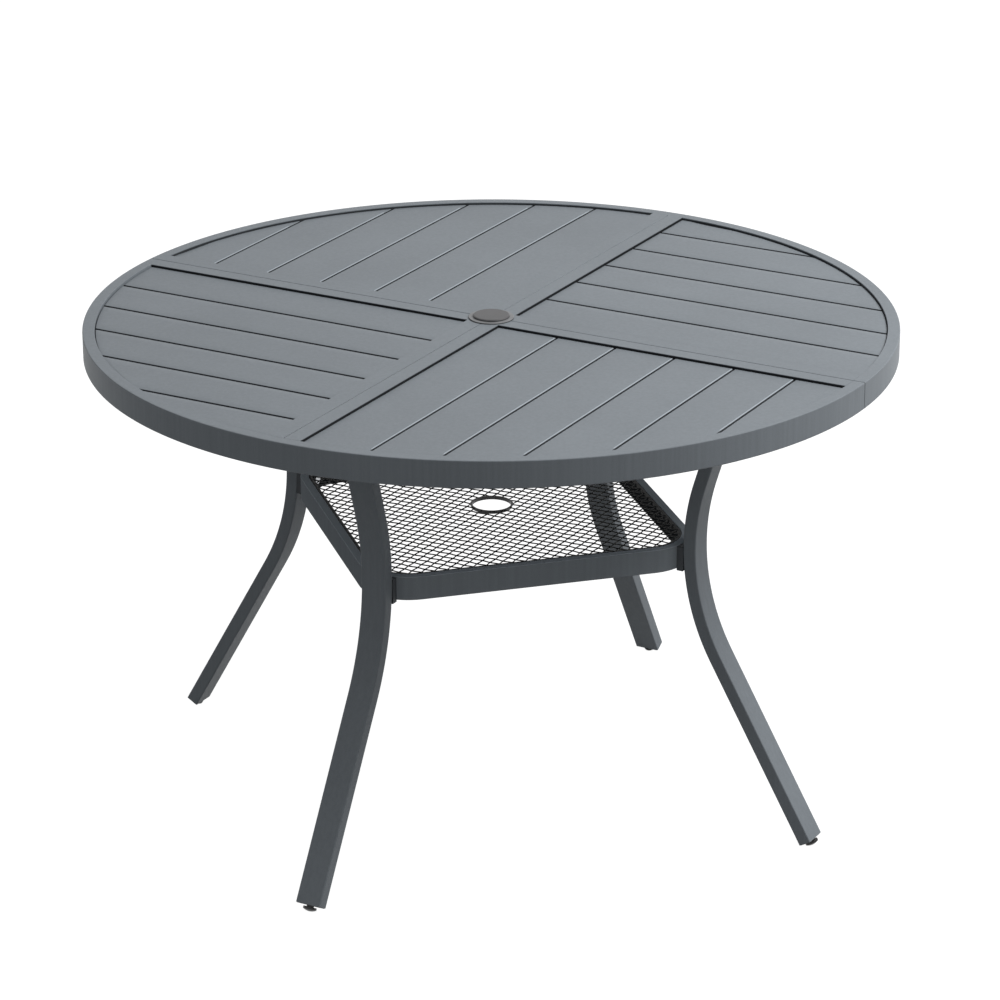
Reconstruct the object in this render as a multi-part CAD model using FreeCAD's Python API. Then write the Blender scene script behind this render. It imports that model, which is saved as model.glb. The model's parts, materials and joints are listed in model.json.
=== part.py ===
import FreeCAD, Part
import math
import os

from FreeCAD import Placement, Rotation, Vector

# Round outdoor table with an umbrella hole and a mesh shelf. Millimetres, +Z up.
# The origin is on the floor under the middle of the top. X runs along the seam between the two
# half tops, and Y runs square to it. Two of the four legs stand on X and two on Y.

# Table top
table_height = 736.5
top_diameter = 1200.0
rim_height = 40.0
rim_width = 18.0
rim_wall = 1.5
rim_edge_radius = 1.6
seam_gap = 0.6

# Square tubes that divide the top into quarters
rail_width = 25.4
rail_depth = 25.4
rail_wall = 1.5
rail_edge_radius = 1.2

# Pressed quarter panels: trays with grooves between the slats and edges folded down
panel_recess = 3.5
panel_thickness = 1.5
panel_fold_depth = 9.0
first_slat_width = 98.0
slat_width = 95.0
groove_width = 4.4
groove_floor_width = 1.6
groove_depth = 1.8

# Channel that stiffens each panel from below
rib_distance = 255.0
rib_width = 22.0
rib_depth = 12.0
rib_wall = 1.2

# Umbrella ring, its nut and its cap
ring_bore = 40.0
ring_wall = 3.0
ring_seat_bore = 42.4
ring_seat_depth = 12.0
ring_flange_diameter = 67.0
ring_flange_thickness = 2.0
ring_tail = 10.0
ring_hole_clearance = 0.3
ring_nut_diameter = 56.0
ring_nut_height = 6.0
ring_nut_clearance = 0.05
cap_diameter = 54.0
cap_thickness = 3.0
cap_edge_chamfer = 0.8
cap_plug_depth = 10.0
cap_plug_wall = 2.0
cap_plug_clearance = 0.3
flange_edge_chamfer = 0.7

# Plate under the crossing of the rails
hub_plate_length = 116.0
hub_plate_width = 50.0
hub_plate_thickness = 3.0
hub_bolt_spacing = 90.0
plate_corner_radius = 6.0

# Straps that join the rim halves on the inside
strap_length = 76.0
strap_thickness = 2.0
strap_clearance = 1.2
strap_screw_spacing = 46.0
screw_diameter = 5.0
screw_grip = 6.0
screw_head_across = 8.0
screw_head_height = 3.0
screw_hole_clearance = 0.15

# Bolts that hold plates under the rails
bolt_diameter = 6.0
bolt_head_across = 10.0
bolt_head_height = 4.0
bolt_end = 1.0
washer_diameter = 12.0
washer_thickness = 1.2
nut_height = 5.0
hole_clearance = 0.3
nut_clearance = 0.05

# Bent legs
leg_width = 40.0
leg_depth = 20.0
leg_wall = 1.5
leg_edge_radius = 2.0
leg_waist_inset = 260.2
leg_waist_height = 443.7
leg_bend_radius = 341.0
leg_top_angle = 17.0
leg_foot_angle = 30.0

# Plate on the top of each leg
leg_plate_length = 96.0
leg_plate_width = 50.0
leg_plate_thickness = 3.0
leg_bolt_spacing = 72.0

# Plug in the open end of each leg and its levelling foot
plug_length = 20.0
plug_inset = 0.3
plug_clearance = 0.1
boss_diameter = 11.0
boss_height = 3.0
foot_diameter = 20.0
foot_edge_height = 2.0
foot_dome_height = 3.0
foot_dome_steps = 3
stem_diameter = 8.0
stem_length = 18.0
stem_clearance = 0.05

# Shelf
shelf_height = 443.0
shelf_corner_radius = 75.0
shelf_bar_height = 36.0
shelf_bar_thickness = 13.0
shelf_bar_wall = 1.5
shelf_bar_edge_radius = 1.2
mesh_drop = 0.6
mesh_thickness = 2.0
mesh_border = 5.0
mesh_pitch = 29.0
mesh_strand = 3.0
mesh_least_gap_share = 0.12

# Ring in the middle of the shelf
shelf_ring_bore = 58.0
shelf_ring_wall = 2.0
shelf_ring_flange_diameter = 65.0
shelf_ring_flange_thickness = 3.0
shelf_ring_tail = 3.0
shelf_ring_clearance = 0.3
mesh_ring_border = 1.6

# Spacers between the shelf's corners and the legs
spacer_thickness = 6.6
spacer_width = 28.0
spacer_top_drop = 2.0
spacer_bottom_reach = 3.0
shelf_bolt_diameter = 8.0
shelf_bolt_head_across = 13.0
shelf_bolt_head_height = 5.0
shelf_bolt_reach = 8.0

# Small lengths for building: how far a cutting shape passes a face, and how close counts as equal
cut_reach = 1.0
tolerance = 1e-6

# Values worked out from the sizes above
TOP_RADIUS = top_diameter / 2
RIM_INNER_RADIUS = TOP_RADIUS - rim_width
BAND_HALF = seam_gap / 2 + rail_width
RAIL_BOTTOM = table_height - rail_depth
RAIL_MIDDLE = seam_gap / 2 + rail_width / 2
PANEL_TOP = table_height - panel_recess
PANEL_BOTTOM = PANEL_TOP - panel_thickness
FOLD_BOTTOM = PANEL_TOP - panel_fold_depth
FLANGE_TOP = table_height + ring_flange_thickness
SLEEVE_RADIUS = ring_bore / 2 + ring_wall
HOLE_RADIUS = SLEEVE_RADIUS + ring_hole_clearance
HUB_BOTTOM = RAIL_BOTTOM - hub_plate_thickness
LEG_PLATE_BOTTOM = RAIL_BOTTOM - leg_plate_thickness
TOP_ANGLE = math.radians(leg_top_angle)
FOOT_ANGLE = math.radians(leg_foot_angle)
WAIST_RADIUS = TOP_RADIUS - leg_waist_inset
BEND_X = WAIST_RADIUS + leg_bend_radius
SHELF_CORNER = WAIST_RADIUS - leg_depth / 2 - spacer_thickness
SHELF_HALF = (SHELF_CORNER - shelf_corner_radius) / math.sqrt(2) + shelf_corner_radius
SHELF_BOTTOM = shelf_height - shelf_bar_height
MESH_TOP = shelf_height - mesh_drop
MESH_BOTTOM = MESH_TOP - mesh_thickness
SHELF_RING_RADIUS = shelf_ring_bore / 2 + shelf_ring_wall
SHELF_BOLT_HEIGHT = shelf_height - shelf_bar_height / 2
UP = Vector(0, 0, 1)
SIDES = {"right": 0.0, "back": 90.0, "left": 180.0, "front": 270.0}


# Simple shapes

def block(x_low, x_high, y_low, y_high, z_low, z_high):
    """Box between two corners."""
    size = (x_high - x_low, y_high - y_low, z_high - z_low)
    return Part.makeBox(*size, Vector(x_low, y_low, z_low))


def disc(radius, z_low, z_high):
    """Upright cylinder on the Z axis."""
    return Part.makeCylinder(radius, z_high - z_low, Vector(0, 0, z_low))


def washer_shape(radius, hole_radius, z_low, z_high):
    """Flat ring on the Z axis."""
    return disc(radius, z_low, z_high).cut(disc(hole_radius, z_low, z_high))


def prism(points, height):
    """Closed outline of points, raised along Z."""
    outline = Part.makePolygon(points + [points[0]])
    return Part.Face(outline).extrude(Vector(0, 0, height))


def hexagon(across, z_low, z_high):
    """Hexagonal prism on the Z axis, measured across its flats."""
    corner = corner_radius(across)
    turns = [math.radians(60 * index) for index in range(6)]
    points = [Vector(corner * math.cos(turn), corner * math.sin(turn), z_low) for turn in turns]
    return prism(points, z_high - z_low)


def placed(shape, position, rotation=None):
    """Copy of a shape, turned about the origin and then moved."""
    copy = shape.copy()
    copy.Placement = Placement(position, rotation or Rotation()).multiply(copy.Placement)
    return copy


def turned(shape, degrees):
    """Copy of a shape, turned about the Z axis."""
    return placed(shape, Vector(0, 0, 0), Rotation(UP, degrees))


def rounded_edges(shape, radius, wanted):
    """Fillet on the edges that the test picks."""
    edges = [edge for edge in shape.Edges if wanted(edge)]
    return shape.makeFillet(radius, edges)


def bevelled_edges(shape, size, wanted):
    """Chamfer on the edges that the test picks."""
    edges = [edge for edge in shape.Edges if wanted(edge)]
    return shape.makeChamfer(size, edges)


def runs_along(edge, axis):
    """True for a straight edge that lies along an axis."""
    span = edge.Vertexes[-1].Point - edge.Vertexes[0].Point
    return span.Length > tolerance and span.cross(axis).Length < tolerance * span.Length


def same(first, second):
    """True for two lengths that are equal to within the tolerance."""
    return abs(first - second) < tolerance


def corner_radius(across):
    """Radius to the corners of a hexagon measured across its flats."""
    return across / math.sqrt(3)


def seat_gap(head_across, radius):
    """How far a flat hexagon head stands off the bottom of a hollow round face."""
    reach = corner_radius(head_across)
    return radius - math.sqrt(radius ** 2 - reach ** 2)


# Half tops

def make_rim():
    """Full ring of rectangular tube with its two outer edges rounded."""
    low = table_height - rim_height
    blank = washer_shape(TOP_RADIUS, RIM_INNER_RADIUS, low, table_height)
    outer_edges = [edge for edge in blank.Edges if is_rim_edge(edge)]
    blank = blank.makeFillet(rim_edge_radius, outer_edges)
    hollow = washer_shape(
        TOP_RADIUS - rim_wall,
        RIM_INNER_RADIUS + rim_wall,
        low + rim_wall,
        table_height - rim_wall,
    )
    return blank.cut(hollow)


def is_rim_edge(edge):
    """True for the two circles at the rim's outer radius."""
    return hasattr(edge.Curve, "Radius") and same(edge.Curve.Radius, TOP_RADIUS)


def half_space(side):
    """Big box on one side of the seam."""
    reach = top_diameter
    near = seam_gap / 2
    if side > 0:
        return block(-reach, reach, near, reach, 0, table_height + reach)
    return block(-reach, reach, -reach, -near, 0, table_height + reach)


def square_tube(length, low, high):
    """Tube from one X to another, at Y above zero, with its top inner edge rounded."""
    near = seam_gap / 2
    far = near + rail_width
    tube = block(-length, length, near, far, low, high)
    tube = rounded_edges(tube, rail_edge_radius, lambda edge: is_seam_edge(edge, near, high))
    wall = rail_wall
    hollow = block(-length, length, near + wall, far - wall, low + wall, high - wall)
    return tube.cut(hollow)


def is_seam_edge(edge, near, high):
    """True for the tube's top edge beside the seam."""
    middle = edge.CenterOfMass
    return runs_along(edge, Vector(1, 0, 0)) and same(middle.y, near) and same(middle.z, high)


def bolt_holes(places, radius, low, high):
    """Upright holes at a list of places."""
    return Part.makeCompound([
        Part.makeCylinder(radius, high - low, Vector(x, y, low)) for x, y in places
    ])


def make_seam_rail(side):
    """Tube along the seam, from rim to rim, with half of the umbrella hole."""
    tube = square_tube(TOP_RADIUS, RAIL_BOTTOM, table_height)
    tube = tube.common(disc(RIM_INNER_RADIUS, RAIL_BOTTOM, table_height))
    if side < 0:
        tube = turned(tube, 180)
    tube = tube.cut(disc(HOLE_RADIUS, RAIL_BOTTOM, table_height))
    return tube.cut(rail_bolt_holes())


def make_mid_rail(side, hand):
    """Tube square to the seam, from the seam rail out to the rim."""
    tube = square_tube(TOP_RADIUS, RAIL_BOTTOM, table_height)
    tube = tube.common(disc(RIM_INNER_RADIUS, RAIL_BOTTOM, table_height))
    tube = tube.common(block(BAND_HALF, top_diameter, 0, top_diameter, 0, table_height))
    if hand > 0:
        tube = tube.mirror(Vector(0, 0, 0), Vector(0, 1, 0))
    tube = turned(tube, 90 * side)
    return tube.cut(rail_bolt_holes())


def rail_bolt_holes():
    """All holes in the rails' lower walls."""
    places = hub_bolt_places()
    for turn in SIDES.values():
        places = places + leg_bolt_places(turn)
    radius = bolt_diameter / 2 + hole_clearance
    return bolt_holes(places, radius, RAIL_BOTTOM - cut_reach, RAIL_BOTTOM + rail_wall + cut_reach)


# Quarter panels

def groove_places():
    """Distances of the grooves from the middle of the top."""
    places = []
    place = BAND_HALF + first_slat_width
    while place < RIM_INNER_RADIUS - slat_width / 2:
        places.append(place)
        place = place + slat_width
    return places


def sheet_line(level):
    """Upper line of the pressed sheet, as (across, height) points from the rail to the rim."""
    line = [(BAND_HALF, level)]
    for place in groove_places():
        line.append((place - groove_width / 2, level))
        line.append((place - groove_floor_width / 2, level - groove_depth))
        line.append((place + groove_floor_width / 2, level - groove_depth))
        line.append((place + groove_width / 2, level))
    line.append((TOP_RADIUS, level))
    return line


def quarter_block(inset, low, high):
    """Quarter between the rails and the rim at +X and +Y, drawn in from them by an inset."""
    near = BAND_HALF + inset
    corner = block(near, TOP_RADIUS, near, TOP_RADIUS, low, high)
    return corner.common(disc(RIM_INNER_RADIUS - inset, low, high))


def under_sheet_line(level, low):
    """Everything below the pressed sheet's line at a level, down to a flat floor."""
    outline = [(BAND_HALF, low)] + sheet_line(level) + [(TOP_RADIUS, low)]
    points = [Vector(0, across, height) for across, height in outline]
    face = Part.Face(Part.makePolygon(points + [points[0]]))
    return face.extrude(Vector(TOP_RADIUS, 0, 0))


def make_panel():
    """Pressed tray of the quarter at +X and +Y, with grooves along X and folded edges all round."""
    outside = under_sheet_line(PANEL_TOP, FOLD_BOTTOM).common(quarter_block(0, FOLD_BOTTOM, table_height))
    low = FOLD_BOTTOM - cut_reach
    inside = under_sheet_line(PANEL_BOTTOM, low).common(quarter_block(panel_thickness, low, table_height))
    return outside.cut(inside)


def make_rib():
    """Channel inside the tray of the same quarter, square to its grooves."""
    high = PANEL_BOTTOM - groove_depth
    low = high - rib_depth
    near = rib_distance - rib_width / 2
    far = rib_distance + rib_width / 2
    body = block(near, far, 0, TOP_RADIUS, low, high)
    inside = block(near + rib_wall, far - rib_wall, 0, TOP_RADIUS, low, high - rib_wall)
    return body.cut(inside).common(quarter_block(panel_thickness, low, high))


# Middle of the top

def rounded_plate(length, width, thickness, low):
    """Flat plate with rounded corners, middle at the origin."""
    plate = block(-length / 2, length / 2, -width / 2, width / 2, low, low + thickness)
    return rounded_edges(plate, plate_corner_radius, lambda edge: runs_along(edge, UP))


def hub_bolt_places():
    """Bolt places of the plate under the crossing."""
    reach = hub_bolt_spacing / 2
    return [(x, y) for x in (-reach, reach) for y in (-RAIL_MIDDLE, RAIL_MIDDLE)]


def make_hub_plate():
    """Plate that ties the two seam rails together round the umbrella hole."""
    plate = rounded_plate(hub_plate_length, hub_plate_width, hub_plate_thickness, HUB_BOTTOM)
    plate = plate.cut(disc(HOLE_RADIUS, HUB_BOTTOM, RAIL_BOTTOM))
    radius = bolt_diameter / 2 + hole_clearance
    return plate.cut(bolt_holes(hub_bolt_places(), radius, HUB_BOTTOM, RAIL_BOTTOM))


def make_umbrella_ring():
    """Flanged sleeve that lines the umbrella hole, with a wider seat for the cap's plug."""
    low = HUB_BOTTOM - ring_tail
    sleeve = disc(SLEEVE_RADIUS, low, FLANGE_TOP)
    flange = disc(ring_flange_diameter / 2, table_height, FLANGE_TOP)
    ring = bevelled_edges(sleeve.fuse(flange).removeSplitter(), flange_edge_chamfer, is_flange_edge)
    ring = ring.cut(disc(ring_bore / 2, low, FLANGE_TOP))
    return ring.cut(disc(ring_seat_bore / 2, FLANGE_TOP - ring_seat_depth, FLANGE_TOP))


def is_flange_edge(edge):
    """True for the flange's outer circle on its upper face."""
    return hasattr(edge.Curve, "Radius") and same(edge.CenterOfMass.z, FLANGE_TOP)


def make_ring_nut():
    """Round nut that draws the ring down from below."""
    bore = SLEEVE_RADIUS + ring_nut_clearance
    return washer_shape(ring_nut_diameter / 2, bore, HUB_BOTTOM - ring_nut_height, HUB_BOTTOM)


def make_cap():
    """Lift-off cap: a round cover with a hollow plug below it."""
    cover = disc(cap_diameter / 2, FLANGE_TOP, FLANGE_TOP + cap_thickness)
    cover = bevelled_edges(cover, cap_edge_chamfer, is_cap_edge)
    radius = ring_seat_bore / 2 - cap_plug_clearance
    plug = washer_shape(radius, radius - cap_plug_wall, FLANGE_TOP - cap_plug_depth, FLANGE_TOP)
    return cover.fuse(plug).removeSplitter()


def is_cap_edge(edge):
    """True for the cap's upper circle."""
    return hasattr(edge.Curve, "Radius") and same(edge.CenterOfMass.z, FLANGE_TOP + cap_thickness)


# Rim straps

def strap_bottom():
    """Height of the straps' lower edge."""
    return table_height - rim_height + strap_clearance


def strap_top():
    """Height of the straps' upper edge, under the rails."""
    return RAIL_BOTTOM - strap_clearance


def screw_turns():
    """Directions of a strap's two screws, in degrees from the seam."""
    turn = math.degrees(strap_screw_spacing / 2 / RIM_INNER_RADIUS)
    return (-turn, turn)


def make_strap():
    """Curved strap across the rim's seam at +X, on the rim's inner wall."""
    inner = RIM_INNER_RADIUS - strap_thickness
    ring = washer_shape(RIM_INNER_RADIUS, inner, strap_bottom(), strap_top())
    window = block(0, TOP_RADIUS, -strap_length / 2, strap_length / 2, 0, table_height)
    strap = ring.common(window)
    return strap.cut(strap_screw_holes(0))


def screw_height():
    """Height of the strap screws' axes."""
    return (strap_bottom() + strap_top()) / 2


def screw_hole(turn):
    """Radial hole for a strap screw, through the strap and the rim's inner wall."""
    radius = screw_diameter / 2 + screw_hole_clearance
    start = Vector(RIM_INNER_RADIUS - strap_thickness - cut_reach, 0, screw_height())
    reach = strap_thickness + rim_wall + 2 * cut_reach
    return turned(Part.makeCylinder(radius, reach, start, Vector(1, 0, 0)), turn)


def strap_screw_holes(side_turn):
    """Both screw holes at one end of the seam."""
    return Part.makeCompound([turned(screw_hole(turn), side_turn) for turn in screw_turns()])


def make_strap_screws():
    """Two radial screws of the strap at +X."""
    inner = RIM_INNER_RADIUS - strap_thickness
    seat = inner - seat_gap(screw_head_across, inner)
    head = hexagon(screw_head_across, -screw_head_height, 0)
    shank = Part.makeCylinder(screw_diameter / 2, strap_thickness + rim_wall + screw_grip)
    screw = head.fuse(shank).removeSplitter()
    level = placed(screw, Vector(seat, 0, screw_height()), Rotation(Vector(0, 1, 0), 90))
    return Part.makeCompound([turned(level, turn) for turn in screw_turns()])


# Fasteners under the rails

def make_plate_bolt(plate_bottom, plate_thickness):
    """Bolt with washer and nut, on the Z axis, through a plate and a rail's lower wall."""
    seat = plate_bottom - washer_thickness
    nut_bottom = plate_bottom + plate_thickness + rail_wall
    end = nut_bottom + nut_height + bolt_end
    radius = bolt_diameter / 2
    head = hexagon(bolt_head_across, seat - bolt_head_height, seat)
    bolt = head.fuse(disc(radius, seat, end)).removeSplitter()
    washer = washer_shape(washer_diameter / 2, radius + hole_clearance, seat, plate_bottom)
    nut = hexagon(bolt_head_across, nut_bottom, nut_bottom + nut_height)
    nut = nut.cut(disc(radius + nut_clearance, nut_bottom, nut_bottom + nut_height))
    return [bolt, washer, nut]


def make_bolt_group(places, plate_bottom, plate_thickness):
    """One set of bolt, washer and nut at each place."""
    solids = []
    for x, y in places:
        for piece in make_plate_bolt(plate_bottom, plate_thickness):
            solids.append(placed(piece, Vector(x, y, 0)))
    return Part.makeCompound(solids)


# Legs, drawn in the plane of X and Z for the leg at +X

def bend_point(radius, angle):
    """Point on the leg's bend, where a positive angle is above the waist."""
    x = BEND_X - radius * math.cos(angle)
    return Vector(x, 0, leg_waist_height + radius * math.sin(angle))


def foot_direction():
    """Direction of the leg's lower run, towards the floor."""
    return Vector(math.sin(FOOT_ANGLE), 0, -math.cos(FOOT_ANGLE))


def top_direction():
    """Direction of the leg's upper run, towards the top."""
    return Vector(math.sin(TOP_ANGLE), 0, math.cos(TOP_ANGLE))


def dome_radius():
    """Radius of the ball that the foot's dome belongs to."""
    edge = foot_diameter / 2
    return (edge ** 2 + foot_dome_height ** 2) / (2 * foot_dome_height)


def dome_line():
    """Foot's dome as (radius, height) points on a ball, from its tip to its edge."""
    edge_angle = math.asin(foot_diameter / 2 / dome_radius())
    tip = -boss_height - foot_edge_height - foot_dome_height
    line = []
    for step in range(foot_dome_steps + 1):
        angle = edge_angle * step / foot_dome_steps
        line.append((dome_radius() * math.sin(angle), tip + dome_radius() * (1 - math.cos(angle))))
    return line


def leg_end():
    """Middle of the leg's cut end, set so that the leaning foot's dome touches the floor."""
    height = max(
        radius * math.sin(FOOT_ANGLE) - level * math.cos(FOOT_ANGLE) for radius, level in dome_line()
    )
    start = bend_point(leg_bend_radius, -FOOT_ANGLE)
    length = (start.z - height) / math.cos(FOOT_ANGLE)
    return start + foot_direction() * length


def leg_top_place(level):
    """Distance of the upper run's middle line from the Z axis at a height."""
    start = bend_point(leg_bend_radius, TOP_ANGLE)
    return start.x + (level - start.z) * math.tan(TOP_ANGLE)


def leg_bar(half_depth, width, extra):
    """Bar along the leg's bent middle line, extended at both ends."""
    lower_run = (leg_end() - bend_point(leg_bend_radius, -FOOT_ANGLE)).Length + extra
    upper_run = (table_height - bend_point(leg_bend_radius, TOP_ANGLE).z) / math.cos(TOP_ANGLE)
    lines = []
    for radius in (leg_bend_radius - half_depth, leg_bend_radius + half_depth):
        high = bend_point(radius, TOP_ANGLE)
        middle = bend_point(radius, (TOP_ANGLE - FOOT_ANGLE) / 2)
        low = bend_point(radius, -FOOT_ANGLE)
        lines.append((high, middle, low))
    outer, inner = lines
    outer_top = outer[0] + top_direction() * upper_run
    inner_top = inner[0] + top_direction() * upper_run
    outer_end = outer[2] + foot_direction() * lower_run
    inner_end = inner[2] + foot_direction() * lower_run
    wire = Part.Wire([
        Part.makeLine(outer_top, outer[0]),
        Part.Arc(*outer).toShape(),
        Part.makeLine(outer[2], outer_end),
        Part.makeLine(outer_end, inner_end),
        Part.makeLine(inner_end, inner[2]),
        Part.Arc(*reversed(inner)).toShape(),
        Part.makeLine(inner[0], inner_top),
        Part.makeLine(inner_top, outer_top),
    ])
    bar = Part.Face(wire).extrude(Vector(0, width, 0))
    return placed(bar, Vector(0, -width / 2, 0))


def under_plate():
    """Big box below the leg plates."""
    reach = top_diameter
    return block(-reach, reach, -reach, reach, -reach, LEG_PLATE_BOTTOM)


def make_leg_envelope():
    """Leg as a solid bar with rounded long edges."""
    bar = leg_bar(leg_depth / 2, leg_width, 0)
    bar = rounded_edges(bar, leg_edge_radius, is_long_leg_edge)
    return bar.common(under_plate())


def is_long_leg_edge(edge):
    """True for an edge that runs along the leg, on either of its sides."""
    on_side = all(same(abs(vertex.Point.y), leg_width / 2) for vertex in edge.Vertexes)
    return on_side and edge.Length > leg_depth + tolerance


def make_leg(envelope):
    """Bent rectangular tube, open at its foot."""
    hollow = leg_bar(leg_depth / 2 - leg_wall, leg_width - 2 * leg_wall, cut_reach)
    leg = envelope.cut(hollow)
    return leg.cut(shelf_bolt_hole())


def leg_bolt_places(turn):
    """Bolt places of the leg plate in one direction."""
    middle = leg_top_place(LEG_PLATE_BOTTOM)
    angle = math.radians(turn)
    places = []
    for along in (middle - leg_bolt_spacing / 2, middle + leg_bolt_spacing / 2):
        for across in (-RAIL_MIDDLE, RAIL_MIDDLE):
            x = along * math.cos(angle) - across * math.sin(angle)
            y = along * math.sin(angle) + across * math.cos(angle)
            places.append((x, y))
    return places


def make_leg_plate():
    """Plate on the leg's top end, bolted under two rails."""
    plate = rounded_plate(leg_plate_length, leg_plate_width, leg_plate_thickness, LEG_PLATE_BOTTOM)
    plate = placed(plate, Vector(leg_top_place(LEG_PLATE_BOTTOM), 0, 0))
    radius = bolt_diameter / 2 + hole_clearance
    return plate.cut(bolt_holes(leg_bolt_places(0), radius, LEG_PLATE_BOTTOM, RAIL_BOTTOM))


def at_leg_end(shape):
    """Shape drawn about Z with its leg end at the origin, moved to the leg's end."""
    return placed(shape, leg_end(), Rotation(Vector(0, 1, 0), -leg_foot_angle))


def make_leg_plug():
    """Plug inside the leg's end, with a round boss for the foot to stop on."""
    half_x = leg_depth / 2 - leg_wall - plug_clearance
    half_y = leg_width / 2 - leg_wall - plug_clearance
    plug = block(-half_x, half_x, -half_y, half_y, plug_inset, plug_length)
    plug = plug.fuse(disc(boss_diameter / 2, -boss_height, plug_length)).removeSplitter()
    bore = disc(stem_diameter / 2 + stem_clearance, -boss_height, plug_length)
    return at_leg_end(plug.cut(bore))


def make_foot():
    """Levelling foot: a domed disc on a screwed stem."""
    back = -boss_height
    outline = dome_line() + [
        (foot_diameter / 2, back),
        (stem_diameter / 2, back),
        (stem_diameter / 2, back + stem_length),
        (0, back + stem_length),
    ]
    points = [Vector(radius, 0, height) for radius, height in outline]
    face = Part.Face(Part.makePolygon(points + [points[0]]))
    return at_leg_end(face.revolve(Vector(0, 0, 0), UP, 360))


# Shelf, drawn square to the axes and then turned so that its corners lie on X and Y

def rounded_square(half, radius, low, high):
    """Square block with rounded corners, turned by an eighth of a turn."""
    body = block(-half, half, -half, half, low, high)
    body = rounded_edges(body, radius, lambda edge: runs_along(edge, UP))
    return turned(body, 45)


def shelf_bolt_hole():
    """Hole along X for the bolt of the corner at +X."""
    radius = shelf_bolt_diameter / 2 + hole_clearance
    start = Vector(SHELF_CORNER - 2 * shelf_bar_thickness, 0, SHELF_BOLT_HEIGHT)
    reach = WAIST_RADIUS - start.x
    return Part.makeCylinder(radius, reach, start, Vector(1, 0, 0))


def make_shelf_frame():
    """Rounded square of tall flat tube."""
    inner_radius = shelf_corner_radius - shelf_bar_thickness
    outer = rounded_square(SHELF_HALF, shelf_corner_radius, SHELF_BOTTOM, shelf_height)
    outer = rounded_edges(outer, shelf_bar_edge_radius, is_level_edge)
    opening = rounded_square(SHELF_HALF - shelf_bar_thickness, inner_radius, SHELF_BOTTOM, shelf_height)
    wall = shelf_bar_wall
    hollow = rounded_square(
        SHELF_HALF - wall,
        shelf_corner_radius - wall,
        SHELF_BOTTOM + wall,
        shelf_height - wall,
    )
    core = rounded_square(
        SHELF_HALF - shelf_bar_thickness + wall,
        inner_radius + wall,
        SHELF_BOTTOM + wall,
        shelf_height - wall,
    )
    frame = outer.cut(opening).cut(hollow.cut(core))
    holes = [turned(shelf_bolt_hole(), turn) for turn in SIDES.values()]
    return frame.cut(Part.makeCompound(holes))


def is_level_edge(edge):
    """True for an edge that lies flat."""
    return same(edge.Vertexes[0].Point.z, edge.Vertexes[-1].Point.z)


def mesh_gaps(region, ring_zone):
    """Square gaps between the strands, each cut back to the space inside the border."""
    reach = int(SHELF_HALF * math.sqrt(2) / mesh_pitch) + 1
    half = (mesh_pitch - mesh_strand) / 2
    least = mesh_least_gap_share * (2 * half) ** 2
    gaps = []
    for column in range(-reach, reach):
        for row in range(-reach, reach):
            x = (column + 0.5) * mesh_pitch
            y = (row + 0.5) * mesh_pitch
            corners = [
                Vector(x - half, y - half, MESH_BOTTOM),
                Vector(x + half, y - half, MESH_BOTTOM),
                Vector(x + half, y + half, MESH_BOTTOM),
                Vector(x - half, y + half, MESH_BOTTOM),
            ]
            gap = Part.Face(Part.makePolygon(corners + [corners[0]]))
            gap = gap.common(region).cut(ring_zone)
            gaps.extend(face for face in gap.Faces if face.Area > least)
    return gaps


def flat_rounded_square(half, radius):
    """Face of a rounded square at the mesh's underside."""
    body = rounded_square(half, radius, MESH_BOTTOM, MESH_TOP)
    floors = [face for face in body.Faces if same(face.CenterOfMass.z, MESH_BOTTOM)]
    return floors[0]


def make_shelf_mesh():
    """Mesh as one flat holed face, raised to its thickness."""
    half = SHELF_HALF - shelf_bar_thickness
    radius = shelf_corner_radius - shelf_bar_thickness
    outline = flat_rounded_square(half, radius)
    region = flat_rounded_square(half - mesh_border, radius - mesh_border)
    hole_radius = SHELF_RING_RADIUS + shelf_ring_clearance
    hole = Part.Face(Part.Wire(Part.makeCircle(hole_radius, Vector(0, 0, MESH_BOTTOM))))
    zone = Part.Face(Part.Wire(Part.makeCircle(hole_radius + mesh_ring_border, Vector(0, 0, MESH_BOTTOM))))
    gaps = mesh_gaps(region, zone)
    wires = [gap.OuterWire for gap in gaps] + [hole.OuterWire]
    print("mesh gaps:", len(gaps))
    net = Part.Face([outline.OuterWire] + wires, "Part::FaceMakerBullseye")
    return net.extrude(Vector(0, 0, mesh_thickness))


def make_shelf_ring():
    """Flanged ring that lines the hole in the mesh."""
    high = MESH_TOP + shelf_ring_flange_thickness
    low = MESH_BOTTOM - shelf_ring_tail
    sleeve = washer_shape(SHELF_RING_RADIUS, shelf_ring_bore / 2, low, high)
    flange_radius = shelf_ring_flange_diameter / 2
    flange = washer_shape(flange_radius, shelf_ring_bore / 2, MESH_TOP, high)
    return sleeve.fuse(flange).removeSplitter()


def make_shelf_spacer(leg_envelope):
    """Upright plate that fills the gap between the frame's corner and the leg at +X."""
    low = SHELF_BOTTOM - spacer_bottom_reach
    high = shelf_height - spacer_top_drop
    half = spacer_width / 2
    body = block(SHELF_CORNER - shelf_bar_thickness, WAIST_RADIUS, -half, half, low, high)
    frame = rounded_square(SHELF_HALF, shelf_corner_radius, low, high)
    return body.cut(frame).cut(leg_envelope).cut(shelf_bolt_hole())


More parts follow.
